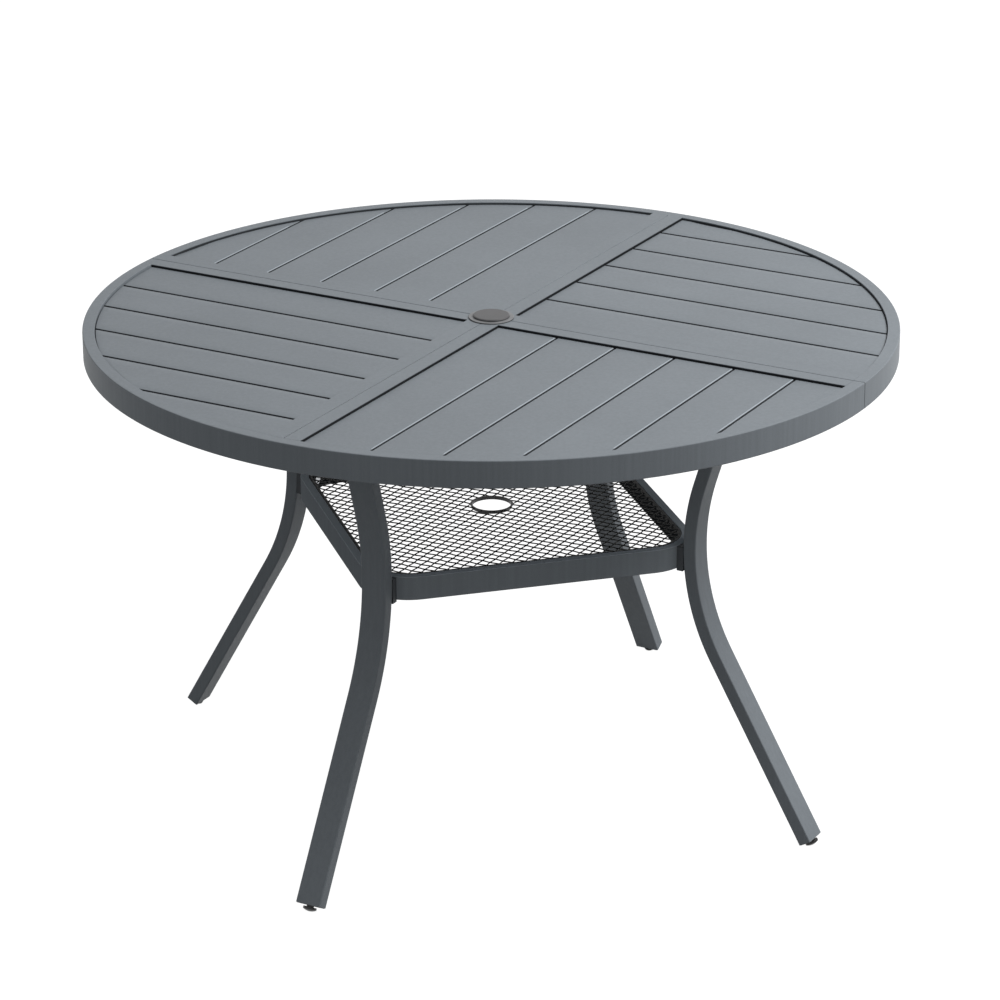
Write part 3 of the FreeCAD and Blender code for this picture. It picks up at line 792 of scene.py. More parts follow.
class Finishes:
    """All materials of the table, each made once.

    Walls are the upright faces round the sunken panels, and feet the corners where ring and cap
    stand on what lies below them; both, with the grooves' floors and the seams, get painted shade.
    Lit finishes are lighter copies for pieces whose walls and grooves the key light reaches, so
    their painted shade starts lower, and the lit slats have a painted highlight on their grooves'
    lips.
    """

    coat_colour = (0.205, 0.226, 0.246)
    # Near black paint of the mesh: partly its own black coat, partly painted shade under the
    # table's top.
    mesh_colour = (0.006, 0.0065, 0.0075)
    flange_colour = (0.190, 0.192, 0.197)
    cap_colour = (0.095, 0.094, 0.0965)
    black_colour = (0.008, 0.008, 0.009)
    zinc_colour = (0.60, 0.61, 0.63)
    # Paint of the saddles, darker than the table's: painted shade for the dark gap between leg and
    # frame.
    saddle_colour = (0.085, 0.092, 0.100)
    # Paint of the shelf frame, lighter than the table's: painted light, in place of the reflection
    # that the frame's shine of 0 leaves out.
    shelf_colour = (0.290, 0.318, 0.343)
    wall_blur = 0.5 * MILLIMETRE
    wall_share = 0.84
    rail_wall_share = 0.96
    wall_low_drop = 3.0 * MILLIMETRE
    wall_top_gap = 0.5 * MILLIMETRE
    rim_wall_top_gap = 1.1 * MILLIMETRE
    lit_wall_top_gap = 3.2 * MILLIMETRE
    shaded_lip = 0.1 * MILLIMETRE
    lit_lip = 0.8 * MILLIMETRE
    groove_blur = 0.4 * MILLIMETRE
    groove_share = 0.94
    lit_groove_share = 0.9
    lip_top_gap = 0.02 * MILLIMETRE
    lip_blur = 0.08 * MILLIMETRE
    lip_end_gap = 16.0 * MILLIMETRE
    cap_foot_height = 1.0 * MILLIMETRE
    ring_foot_height = 1.3 * MILLIMETRE
    foot_share = 0.95
    seam_blur = 0.35 * MILLIMETRE
    half_seam_share = 0.8
    quarter_seam_half = 0.1 * MILLIMETRE
    quarter_seam_share = 0.5

    def __init__(self, sizes: TableSizes) -> None:
        self.sizes = sizes
        # Zones of painted shade on the recess walls and in the grooves' floors; the lit ones start
        # lower.
        rim_wall = self.wall(self.rim_wall_top_gap, self.wall_share)
        wall = self.wall(self.wall_top_gap, self.rail_wall_share)
        lit_wall = self.wall(self.lit_wall_top_gap, self.rail_wall_share)
        groove = self.groove(self.shaded_lip, self.groove_share)
        lit_groove = self.groove(self.lit_lip, self.lit_groove_share)
        # Zone of painted light: a painted highlight on the upper part of the lit grooves' walls.
        lip = Recess(
            low=sizes.panel_top - self.lit_lip,
            high=sizes.panel_top - self.lip_top_gap,
            radius=sizes.rim_inner_radius - self.lip_end_gap,
            blur=self.lip_blur,
            share=1.0,
        )
        # Zones of painted shade where the ring stands on the top and the cap on the ring, and along
        # the seams.
        ring_foot = self.foot(sizes.height, self.ring_foot_height, self.ring_foot_height)
        cap_foot = self.foot(sizes.flange_top, self.cap_foot_height / 2, self.cap_foot_height)
        half_turn = Seam("Y", sizes.seam_half, self.seam_blur, self.half_seam_share)
        quarter_turn = Seam("X", self.quarter_seam_half, self.seam_blur, self.quarter_seam_share)
        seams = (half_turn, quarter_turn)
        # Shaded and lit copies of the table's paint, with the zones of painted shade and light
        # above.
        self.coat = self.painted("powder_coat")
        self.rim_coat = self.painted("rim_powder_coat", rim_wall, half_turn)
        self.lit_rim_coat = self.painted("lit_rim_powder_coat", half_turn)
        self.rail_coat = self.painted("rail_powder_coat", wall, *seams)
        self.lit_rail_coat = self.painted("lit_rail_powder_coat", lit_wall, *seams)
        self.slat_coat = self.painted("slat_powder_coat", groove)
        self.lit_slat_coat = self.painted("lit_slat_powder_coat", lit_groove, worn=lip)
        # The saddles' darker paint is painted shade.
        self.saddle_coat = PowderCoat("saddle_powder_coat", self.saddle_colour).material()
        # The mesh's near black is partly its own coat and partly painted shade.
        self.mesh_coat = PowderCoat("mesh_dip_coat", self.mesh_colour, shine=0.12).material()
        # The ring and the cap get painted shade where they stand on what lies below them.
        self.ring_plastic = Moulding(
            "ring_moulding", self.flange_colour, roughness=0.48, zones=(ring_foot,)
        ).material()
        self.cap_plastic = Moulding(
            "cap_moulding", self.cap_colour, roughness=0.5, shine=0.3, zones=(cap_foot,)
        ).material()
        self.black_plastic = Moulding(
            "black_moulding", self.black_colour, roughness=0.32
        ).material()
        self.zinc = ZincPlate("zinc_plate", self.zinc_colour).material()

    def painted(
        self, name: str, *zones: Recess | Seam, worn: Recess | None = None
    ) -> bpy.types.Material:
        """The table's paint with zones of painted shade.

        Args:
            name: Name of the material.
            *zones: Its zones of painted shade.
            worn: Its zone of painted light.

        Returns:
            The material.
        """
        return PowderCoat(name, self.coat_colour, zones=zones, worn=worn).material()

    def groove(self, lip: float, share: float) -> Recess:
        """Zone of painted shade in the grooves' floors.

        Args:
            lip: Depth from which the grooves are dark.
            share: Share of the dark colour.

        Returns:
            The zone.
        """
        return Recess(
            low=0.0,
            high=self.sizes.panel_top - lip,
            radius=self.sizes.top_radius,
            blur=self.groove_blur,
            share=share,
        )

    def wall(self, top_gap: float, share: float) -> Recess:
        """Zone of painted shade on the upright walls round the sunken panels.

        Args:
            top_gap: Height of the strip below the walls' upper edge that stays light.
            share: Share of the dark colour.

        Returns:
            The zone.
        """
        return Recess(
            low=self.sizes.panel_top - self.wall_low_drop,
            high=self.sizes.height - top_gap,
            radius=self.sizes.rim_inner_radius + self.wall_blur / 2,
            blur=self.wall_blur,
            share=share,
        )

    def foot(self, level: float, drop: float, rise: float) -> Recess:
        """Zone of painted shade along the line where a plastic piece stands on what lies below it.

        Args:
            level: Height of the line.
            drop: How far the zone reaches below it.
            rise: How far it reaches above.

        Returns:
            The zone.
        """
        return Recess(
            low=level - drop,
            high=level + rise,
            radius=self.sizes.top_radius,
            blur=rise / 2,
            share=self.foot_share,
        )

    def for_slot(self, slot: Slot) -> bpy.types.Material:
        """Material that a carried-over node of this slot gets."""
        return {
            Slot.COAT: self.coat,
            Slot.MESH_COAT: self.mesh_coat,
            Slot.RING_PLASTIC: self.ring_plastic,
            Slot.BLACK_PLASTIC: self.black_plastic,
            Slot.ZINC: self.zinc,
        }[slot]


def fit_piece(
    piece: bpy.types.Object,
    material: bpy.types.Material,
    node: str,
    body: str = Body.TABLE.value,
) -> None:
    """Gives a new piece its material and its body, and hides the node that it stands for.

    Args:
        piece: The new object.
        material: Its material.
        node: Name of the node that it stands for.
        body: Name of the body that it rides on.
    """
    piece.data.materials.clear()
    piece.data.materials.append(material)
    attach(piece, body)
    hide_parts(node)
    LOG.info("%s: %d faces, on %s", piece.name, len(piece.data.polygons), body)


# Sub-assemblies


@dataclass
class Rim:
    """Round rim in two halves, a rectangular tube carried along half a circle each."""

    sizes: TableSizes
    finishes: Finishes
    outer_edge_radius: float = 1.6 * MILLIMETRE
    inner_edge_radius: float = 0.5 * MILLIMETRE
    end_radius: float = 1.1 * MILLIMETRE
    edge_steps: int = 5
    end_steps: int = 4
    arc_steps: int = 240

    def section(self, inset: float) -> np.ndarray:
        """Outline of the tube.

        Args:
            inset: How far it is drawn in all round.

        Returns:
            Array of (radius, height) points.
        """
        s = self.sizes
        outer, inner = s.top_radius - inset, s.rim_inner_radius + inset
        low, high = s.rim_bottom + inset, s.height - inset
        corners = [(outer, low), (outer, high), (inner, high), (inner, low)]
        small = self.inner_edge_radius
        large = max(self.outer_edge_radius - inset, small)
        return rounded_outline(corners, [large, large, small, small], self.edge_steps)

    def half(self, side_turn: float) -> np.ndarray:
        """Grid of one half.

        The section is an outline of (radius, height) points. Each of them runs along its own arc,
        from the angle at which its radius meets the seam, whose sine is the distance from the
        seam's middle over the radius, to half a turn less that angle. At both ends the edge rolls
        over: with t from 0 to a quarter turn, the section is drawn in by r (1 - sin t) at a
        distance of r (1 - cos t) from the cut.

        Args:
            side_turn: Turn of the half about the upright axis, in degrees.

        Returns:
            Grid of stations by section points.
        """
        t = np.linspace(0.0, math.pi / 2, self.end_steps + 1)
        inset = self.end_radius * (1 - np.sin(t))
        away = self.sizes.seam_half + self.end_radius * (1 - np.cos(t))
        start = [(draw, gap, 0.0) for draw, gap in zip(inset, away)]
        shares = np.linspace(0.0, 1.0, self.arc_steps)[1:-1]
        middle = [(0.0, away[-1], share) for share in shares]
        end = [(draw, gap, 1.0) for draw, gap, _ in reversed(start)]
        rows = []
        for draw, gap, share in start + middle + end:
            section = self.section(draw)
            first = np.arcsin(gap / section[:, 0])
            angle = first + share * (math.pi - 2 * first)
            rows.append(around(section[:, 0], angle, section[:, 1]))
        return turned(np.stack(rows), side_turn)

    def build(self) -> None:
        """Makes both halves."""
        # The back half has painted shade on its inner wall; the front half, whose wall the key
        # light reaches, gets the lit copy without it. Both have painted shade along the seam.
        halves = (("a", 0.0, self.finishes.rim_coat), ("b", 180.0, self.finishes.lit_rim_coat))
        for half, side_turn, coat in halves:
            surface = Surface().add_grid(self.half(side_turn), loop_columns=True, capped=True)
            piece = surface.to_object(f"rim_half_{half}")
            weigh_normals(piece)
            fit_piece(piece, coat, f"rim_{half}")


@dataclass
class SlatPanels:
    """Four pressed panels, each a quarter disc of sheet.

    Each has grooves between its slats and a flange turned down all round.
    """

    sizes: TableSizes
    finishes: Finishes
    first_slat_width: float = 98.0 * MILLIMETRE
    slat_width: float = 95.0 * MILLIMETRE
    groove_width: float = 7.0 * MILLIMETRE
    groove_depth: float = 2.5 * MILLIMETRE
    edge_gap: float = 0.3 * MILLIMETRE
    roll_radius: float = 2.2 * MILLIMETRE
    flange_depth: float = 9.0 * MILLIMETRE
    sheet_thickness: float = 1.4 * MILLIMETRE
    roll_room: float = 2.2
    sharp_degrees: float = 50.0
    groove_steps: int = 14
    slat_steps: int = 4
    roll_steps: int = 7
    length_steps: int = 40

    def groove_places(self) -> np.ndarray:
        """Distances of the grooves from the middle of the top."""
        s = self.sizes
        first = s.band_half + self.first_slat_width
        return np.arange(first, s.rim_inner_radius - self.slat_width / 2, self.slat_width)

    def roll_offsets(self) -> np.ndarray:
        """Distances from a border at which the rolled edge needs points, as one minus a cosine."""
        t = np.linspace(0.0, math.pi / 2, self.roll_steps + 1)
        return self.roll_radius * (1.0 - np.cos(t))

    def rows(self) -> np.ndarray:
        """Distances across the slats at which the grid has a row."""
        s = self.sizes
        near = s.band_half + self.edge_gap
        far = math.sqrt((s.rim_inner_radius - self.edge_gap) ** 2 - near**2)
        grooves = self.groove_places()
        t = np.linspace(-0.5, 0.5, self.groove_steps + 1) * self.groove_width
        borders = np.concatenate([[near], grooves, [far]])
        spans = zip(borders[:-1], borders[1:])
        slats = [np.linspace(start, end, self.slat_steps + 2)[1:-1] for start, end in spans]
        rolls = [near + self.roll_offsets(), far - self.roll_offsets()]
        groups = [*rolls, (grooves[:, None] + t).ravel(), *slats]
        return np.unique(np.concatenate(groups).round(PLACE_DIGITS))

    def height(self, along: np.ndarray, across: np.ndarray) -> np.ndarray:
        """Height of the sheet's upper face.

        A groove sinks it by the depth times the square of a cosine of the distance from the
        groove's middle. Near a border it follows a quarter circle: it sinks by the roll radius less
        the root of the radius squared minus the square of what the distance lacks to the radius.

        Args:
            along: Distance along the slats.
            across: Distance across the slats.

        Returns:
            Heights, in an array of the same shape.
        """
        s = self.sizes
        offset = np.abs(across[..., None] - self.groove_places()).min(axis=-1)
        inside = np.clip(offset / (self.groove_width / 2), 0.0, 1.0)
        groove = self.groove_depth * np.cos(0.5 * math.pi * inside) ** 2
        near = s.band_half + self.edge_gap
        reach = s.rim_inner_radius - self.edge_gap - np.hypot(along, across)
        border = np.minimum(np.minimum(along - near, across - near), reach)
        lack = self.roll_radius - np.clip(border, 0.0, self.roll_radius)
        roll = self.roll_radius - np.sqrt(np.clip(self.roll_radius**2 - lack**2, 0.0, None))
        return s.panel_top - np.maximum(groove, roll)

    def grid(self) -> np.ndarray:
        """Grid of the quarter at +X and +Y, with one more ring of points below for the flange.

        A row runs along a slat, from the rail to where its distance from the middle reaches the
        rim: the root of the radius squared minus the distance across, squared.

        Returns:
            Grid of points across by points along.
        """
        s = self.sizes
        across = self.rows()[:, None]
        near = s.band_half + self.edge_gap
        radius = s.rim_inner_radius - self.edge_gap
        end = np.sqrt(np.clip(radius**2 - across**2, near**2, None))
        offsets = self.roll_offsets()[None, :]
        squeeze = np.minimum(1.0, (end - near) / (self.roll_room * self.roll_radius))
        start_part = near + offsets * squeeze
        end_part = end - offsets[:, ::-1] * squeeze
        share = np.linspace(0.0, 1.0, self.length_steps + 2)[None, 1:-1]
        middle = start_part[:, -1:] + share * (end_part[:, :1] - start_part[:, -1:])
        along = np.concatenate([start_part, middle, end_part], axis=1)
        across = np.broadcast_to(across, along.shape)
        sheet = np.stack([along, across, self.height(along, across)], axis=-1)
        ring = np.pad(sheet, ((1, 1), (1, 1), (0, 0)), mode="edge")
        low = s.panel_top - self.flange_depth
        ring[0, :, 2] = ring[-1, :, 2] = low
        ring[:, 0, 2] = ring[:, -1, 2] = low
        return ring

    def build(self) -> None:
        """Makes the four panels, each a quarter of a turn from the last."""
        grid = self.grid()
        for index, place in enumerate(("back_right", "back_left", "front_left", "front_right")):
            surface = Surface().add_grid(turned(grid, 90.0 * index))
            piece = surface.to_object(f"slat_panel_{place}", self.sharp_degrees)
            self.face_up(piece)
            wall = piece.modifiers.new("sheet", "SOLIDIFY")
            wall.thickness = self.sheet_thickness
            wall.offset = -1.0
            wall.material_offset = 1
            # The back-left and front-right panels get the lit copy: a painted highlight on the
            # grooves' lips and painted shade only deeper down. The others have painted shade from
            # just below the top, and the sheet's underside gets the plain paint.
            lit = index % 2 == 1
            coat = self.finishes.lit_slat_coat if lit else self.finishes.slat_coat
            fit_piece(piece, coat, f"panel_{place}")
            piece.data.materials.append(self.finishes.coat)

    @staticmethod
    def face_up(piece: bpy.types.Object) -> None:
        """Turns an open sheet's faces over if most of its area faces down.

        Args:
            piece: The sheet's object.
        """
        mesh = piece.data
        if sum(face.normal.z * face.area for face in mesh.polygons) < 0.0:
            mesh.flip_normals()


@dataclass
class Legs:
    """Four bent legs of rectangular tube, one on each side."""

    sizes: TableSizes
    finishes: Finishes
    waist_radius: float = 339.8 * MILLIMETRE
    waist_height: float = 443.7 * MILLIMETRE
    bend_radius: float = 341.0 * MILLIMETRE
    top_angle: float = math.radians(17.0)
    foot_angle: float = math.radians(30.0)
    depth: float = 20.0 * MILLIMETRE
    wall: float = 1.5 * MILLIMETRE
    edge_radius: float = 2.0 * MILLIMETRE
    least_edge_radius: float = 0.4 * MILLIMETRE
    inside_length: float = 30.0 * MILLIMETRE
    sharp_degrees: float = 40.0
    bend_steps: int = 36
    edge_steps: int = 5

    def __post_init__(self) -> None:
        low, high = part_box("leg_right")
        self.half_width = high.y
        half = self.depth / 2
        self.end = np.array([
            high.x - half * math.cos(self.foot_angle),
            low.z + half * math.sin(self.foot_angle),
        ])
        cut = self.edge_radius * (math.cos(self.foot_angle) + math.sin(self.foot_angle) - 1.0)
        self.foot_seat = self.end + np.array([cut, -cut])

    def stations(self) -> np.ndarray:
        """Places and tilts along the leg's middle line, from its foot end to above the plate.

        On the bend a tilt of t is at the bend's centre plus the bend radius times (-cos t, sin t),
        and the straight runs carry on from the bend's two ends.

        Returns:
            Array of (distance from the middle, height, tilt) rows.
        """
        tilt = np.linspace(-self.foot_angle, self.top_angle, self.bend_steps + 1)
        centre_x = self.waist_radius + self.bend_radius
        bend = np.stack([
            centre_x - self.bend_radius * np.cos(tilt),
            self.waist_height + self.bend_radius * np.sin(tilt),
            tilt,
        ], axis=1)
        foot = np.array([[*self.end, -self.foot_angle]])
        plate = self.sizes.leg_plate_bottom
        away = bend[-1, 0] + (plate - bend[-1, 1]) * math.tan(self.top_angle)
        top = np.array([[away, plate, self.top_angle]])
        return np.concatenate([foot, bend, top])

    def skin(self, stations: np.ndarray, inset: float) -> np.ndarray:
        """Grid of the tube's skin.

        The section stands square to the leg's direction, which is (sin tilt, cos tilt), and its
        depth runs along (cos tilt, -sin tilt). At the plate each point slides along the leg's
        direction until it meets the plate's level face.

        Args:
            stations: Rows of distance, height and tilt.
            inset: How far the skin lies inside the tube's outer face.

        Returns:
            Grid of stations by section points.
        """
        half_depth = self.depth / 2 - inset
        half_width = self.half_width - inset
        radius = max(self.edge_radius - inset, self.least_edge_radius)
        section = rounded_rectangle(half_depth, half_width, radius, self.edge_steps)
        out, across = section[None, :, 0], section[None, :, 1]
        x, z, tilt = (stations[:, None, column] for column in range(3))
        px = x + out * np.cos(tilt)
        pz = z - out * np.sin(tilt)
        plate = self.sizes.leg_plate_bottom
        slide = np.where(z >= plate - MERGE_DISTANCE, plate - pz, 0.0)
        px = px + slide * np.tan(tilt)
        pz = pz + slide
        return np.stack([px, np.broadcast_to(across, px.shape), pz], axis=-1)

    def tube(self) -> np.ndarray:
        """Grid of the whole tube: up its outside from the foot, and a short way up inside it.

        Returns:
            Grid of stations by section points.
        """
        stations = self.stations()
        outside = self.skin(stations, 0.0)
        mouth = self.skin(stations[:1], self.wall / 2)
        inner_end = stations[:1].copy()
        inner_end[0, 0] += self.inside_length * math.sin(inner_end[0, 2])
        inner_end[0, 1] += self.inside_length * math.cos(inner_end[0, 2])
        inside = self.skin(np.concatenate([inner_end, stations[:1]]), self.wall)
        return np.concatenate([inside, mouth, outside])

    def build(self) -> None:
        """Makes the four legs."""
        grid = self.tube()
        for side in Side:
            surface = Surface().add_grid(turned(grid, side.value), loop_columns=True, capped=True)
            piece = surface.to_object(f"bent_leg_{side.label}", self.sharp_degrees)
            weigh_normals(piece)
            fit_piece(piece, self.finishes.coat, f"leg_{side.label}")


@dataclass
class Feet:
    """Four levelling feet: a domed pad on a threaded stem."""

    finishes: Finishes
    legs: Legs
    boss_height: float = 3.0 * MILLIMETRE
    boss_hollow: float = 5.8 * MILLIMETRE
    pad_radius: float = 10.0 * MILLIMETRE
    pad_gap: float = 1.6 * MILLIMETRE
    pad_edge: float = 3.4 * MILLIMETRE
    pad_round: float = 0.6 * MILLIMETRE
    dome_height: float = 3.0 * MILLIMETRE
    stem_radius: float = 4.0 * MILLIMETRE
    stem_length: float = 18.0 * MILLIMETRE
    thread_pitch: float = 1.25 * MILLIMETRE
    thread_depth: float = 0.6 * MILLIMETRE
    sharp_degrees: float = 35.0
    round_steps: int = 48
    dome_steps: int = 10
    round_corner_steps: int = 3
    steps_per_thread: int = 6

    def pad(self) -> np.ndarray:
        """Grid of the pad, with a hollow for the plug's boss in its top.

        Its dome is a part of a ball: height falls as the root of r squared less d squared.

        Returns:
            Grid of outline points by directions.
        """
        ball = (self.pad_radius**2 + self.dome_height**2) / (2 * self.dome_height)
        top = -self.pad_gap
        lowest = top - self.pad_edge - self.dome_height
        distance = np.linspace(0.0, self.pad_radius, self.dome_steps + 1)
        dome = lowest + ball - np.sqrt(ball**2 - distance**2)
        turn = np.linspace(0.0, 0.5 * math.pi, self.round_corner_steps + 1)
        middle = np.array([self.pad_radius - self.pad_round, top - self.pad_round])
        outline = np.concatenate([
            np.stack([distance, dome], axis=1),
            middle + self.pad_round * np.stack([np.cos(turn), np.sin(turn)], axis=1),
            [(self.boss_hollow, top), (self.boss_hollow, -self.boss_height)],
            [(0.0, -self.boss_height)],
        ])
        return revolved(outline, self.round_steps)

    def stem(self) -> np.ndarray:
        """Grid of the threaded stem.

        The radius falls below the stem's by the thread depth times twice the distance, in turns,
        from the nearest crest. A crest stands where height over pitch less turn is a whole number.

        Returns:
            Grid of heights by directions.
        """
        rows = int(self.stem_length / self.thread_pitch * self.steps_per_thread) + 1
        height = np.linspace(0.0, self.stem_length, rows)[:, None] - self.boss_height
        t = np.linspace(0.0, 2 * math.pi, self.round_steps, endpoint=False)[None, :]
        phase = height / self.thread_pitch - t / (2 * math.pi)
        radius = self.stem_radius - self.thread_depth * 2 * np.abs(phase - np.round(phase))
        return around(radius, t, height)

    def at_leg_end(self, points: np.ndarray) -> np.ndarray:
        """Points moved from the upright axis to the right leg's end and leaned along it.

        Args:
            points: Array whose last axis holds x, y and z.

        Returns:
            The moved points.
        """
        cos, sin = math.cos(self.legs.foot_angle), math.sin(self.legs.foot_angle)
        x = points[..., 0] * cos - points[..., 2] * sin + self.legs.foot_seat[0]
        z = points[..., 0] * sin + points[..., 2] * cos + self.legs.foot_seat[1]
        return np.stack([x, points[..., 1], z], axis=-1)

    def build(self) -> None:
        """Makes the four feet, each on its own body, their domes flattened where they stand."""
        pad = self.at_leg_end(self.pad())
        pad[..., 2] = np.maximum(pad[..., 2], 0.0)
        stem = self.at_leg_end(self.stem())
        for side in Side:
            surface = Surface().add_grid(turned(pad, side.value), loop_rows=True)
            surface.add_grid(turned(stem, side.value), loop_columns=True, capped=True)
            piece = surface.to_object(f"levelling_foot_{side.label}", self.sharp_degrees)
            plastic = self.finishes.black_plastic
            node, body = f"foot_{side.label}", f"{side.label}_foot"
            fit_piece(piece, plastic, node, body)


@dataclass
class Shelf:
    """Square shelf with round corners: a frame of tall flat tube, an open mesh and a ring."""

    finishes: Finishes
    corner_radius: float = 75.0 * MILLIMETRE
    bar_thickness: float = 13.0 * MILLIMETRE
    bar_edge_radius: float = 1.2 * MILLIMETRE
    # Half height of the band of painted light along the frame's top face.
    rub_depth: float = 0.5 * MILLIMETRE
    row_pitch: float = 13.62 * MILLIMETRE
    column_pitch: float = 13.84 * MILLIMETRE
    row_half_width: float = 1.45 * MILLIMETRE
    column_half_width: float = 1.05 * MILLIMETRE
    strand_half_height: float = 0.85 * MILLIMETRE
    strand_wave: float = 0.35 * MILLIMETRE
    knuckle_swell: float = 0.35
    border: float = 5.0 * MILLIMETRE
    border_edge_radius: float = 0.4 * MILLIMETRE
    border_edge_steps: int = 2
    mesh_sharp_degrees: float = 60.0
    ring_overlap: float = 0.5 * MILLIMETRE
    ring_bore: float = 29.0 * MILLIMETRE
    ring_wall: float = 2.0 * MILLIMETRE
    ring_flange: float = 1.6 * MILLIMETRE
    ring_proud: float = 0.3 * MILLIMETRE
    ring_edge_radius: float = 0.6 * MILLIMETRE
    leg_face: float = 329.8 * MILLIMETRE
    saddle_half_width: float = 21.0 * MILLIMETRE
    saddle_gap: float = 0.2 * MILLIMETRE
    saddle_bite: float = 0.4 * MILLIMETRE
    saddle_reach: float = 3.0 * MILLIMETRE
    saddle_drop: float = 1.0 * MILLIMETRE
    saddle_edge_radius: float = 0.6 * MILLIMETRE
    corner_steps: int = 24
    edge_steps: int = 4
    strand_sides: int = 6
    steps_per_pitch: int = 4
    ring_steps: int = 72

    def __post_init__(self) -> None:
        low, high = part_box("shelf_frame")
        self.bottom, self.top = low.z, high.z
        self.half = (high.x - self.corner_radius) / math.sqrt(2) + self.corner_radius
        self.corner_centre = (self.half - self.corner_radius) * math.sqrt(2)
        mesh_low, mesh_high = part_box("shelf_mesh")
        self.mesh_middle = (mesh_low.z + mesh_high.z) / 2
        ring_low, ring_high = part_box("shelf_ring")
        self.ring_low, self.ring_high = ring_low.z, mesh_high.z + self.ring_proud
        self.ring_radius = ring_high.x

    def outline(self, inset: float) -> np.ndarray:
        """Rounded square seen from above, with its corners on the axes.

        Args:
            inset: How far the outline lies inside the frame's outer face.

        Returns:
            Array of (x, y) points.
        """
        radius = self.corner_radius - inset
        square = rounded_rectangle(self.half - inset, self.half - inset, radius, self.corner_steps)
        return turned(at_height(square, 0.0), 45.0)[:, :2]

    def ring_of(self, section: np.ndarray) -> np.ndarray:
        """Grid of a section carried round the rounded square.

        Args:
            section: Array of (inset, height) points.

        Returns:
            Grid of section points by points round the square.
        """
        return np.stack([at_height(self.outline(inset), height) for inset, height in section])

    def frame_coat(self) -> bpy.types.Material:
        """Paint of the frame, lighter than the table's: painted light in place of the reflection
        that its shine of 0 leaves out, more painted light on its top face, and painted shade, near
        black, on its inner face below the mesh.

        Returns:
            The material.
        """
        inner = InnerFace(self.half - self.corner_radius, self.corner_radius - self.bar_thickness)
        # Painted light on the top face, which the table's top shades.
        top_face = Recess(
            low=self.top - self.rub_depth,
            high=self.top + self.rub_depth,
            radius=2 * self.half,
            blur=self.rub_depth / 2,
            share=1.0,
        )
        return PowderCoat(
            "shelf_powder_coat",
            self.finishes.shelf_colour,
            shine=0.0,
            worn_gain=1.9,
            zones=(inner,),
            worn=top_face,
        ).material()

    def make_frame(self) -> None:
        """Frame of flat tube with rounded long edges."""
        half = np.array([self.bar_thickness, self.top - self.bottom]) / 2
        section = rounded_rectangle(*half, self.bar_edge_radius, self.edge_steps)
        section = section + half + np.array([0.0, self.bottom])
        surface = Surface().add_grid(self.ring_of(section), loop_rows=True, loop_columns=True)
        piece = surface.to_object("shelf_bar_frame")
        weigh_normals(piece)
        fit_piece(piece, self.frame_coat(), "shelf_frame")

    def half_length(self, place: float, inset: float) -> float:
        """Half of the chord of the rounded square at a distance from its middle, along an axis.

        On the straight sides it is the half diagonal less the distance. In a corner it is the
        corner circle's: the root of the radius squared less the square of the distance from the
        circle's centre, added to the centre's own place where the corner lies ahead.

        Args:
            place: Distance of the chord from the middle.
            inset: How far the square lies inside the frame's outer face.

        Returns:
            Half length, or 0 outside the square.
        """
        radius = self.corner_radius - inset
        centre = self.corner_centre
        away = abs(place)
        if away >= centre + radius:
            return 0.0
        if away <= radius / math.sqrt(2):
            return centre + math.sqrt(radius**2 - away**2)
        if away >= centre + radius / math.sqrt(2):
            return math.sqrt(radius**2 - (away - centre) ** 2)
        return (self.half - inset) * math.sqrt(2) - away

    def strand(
        self, start: float, end: float, place: float, up_first: int, pitch: float, half_width: float
    ) -> np.ndarray:
        """Grid of one strand along X.

        Its middle line waves up and down with a cosine of the pitch, and its section, an ellipse,
        swells at each knuckle, where it crosses another strand, with the square of that cosine.

        Args:
            start: X of its first end.
            end: X of its other end.
            place: Its Y.
            up_first: 1 or -1, so that neighbours wave opposite ways.
            pitch: Distance of the strands that it crosses.
            half_width: Half of its width between knuckles.

        Returns:
            Grid of stations by section points.
        """
        steps = max(2, int(round((end - start) / pitch * self.steps_per_pitch)))
        x = np.linspace(start, end, steps + 1)[:, None]
        wave = np.cos(math.pi * x / pitch)
        t = np.linspace(0.0, 2 * math.pi, self.strand_sides, endpoint=False)[None, :]
        swell = 1.0 + self.knuckle_swell * wave**2
        y = place + half_width * swell * np.cos(t)
        middle = self.mesh_middle + up_first * self.strand_wave * wave
        z = middle + self.strand_half_height * np.sin(t)
        return np.stack([np.broadcast_to(x, y.shape), y, z], axis=-1)

    def strands(self, spacing: float, pitch: float, half_width: float) -> list[np.ndarray]:
        """All strands along X, cut at the border and at the ring.

        Args:
            spacing: Distance from one of them to the next.
            pitch: Distance of the strands that they cross.
            half_width: Half of their width between knuckles.

        Returns:
            Their grids.
        """
        inset = self.bar_thickness + self.border / 2
        hole = self.ring_radius - self.ring_overlap
        count = int(self.half * math.sqrt(2) / spacing)
        found = []
        for index in range(-count, count + 1):
            place = index * spacing
            reach = self.half_length(place, inset)
            up_first = 1 if index % 2 == 0 else -1
            if reach < pitch / 2:
                continue
            near = math.sqrt(max(0.0, hole**2 - place**2))
            spans = [(-reach, -near), (near, reach)] if near else [(-reach, reach)]
            for start, end in spans:
                found.append(self.strand(start, end, place, up_first, pitch, half_width))
        return found

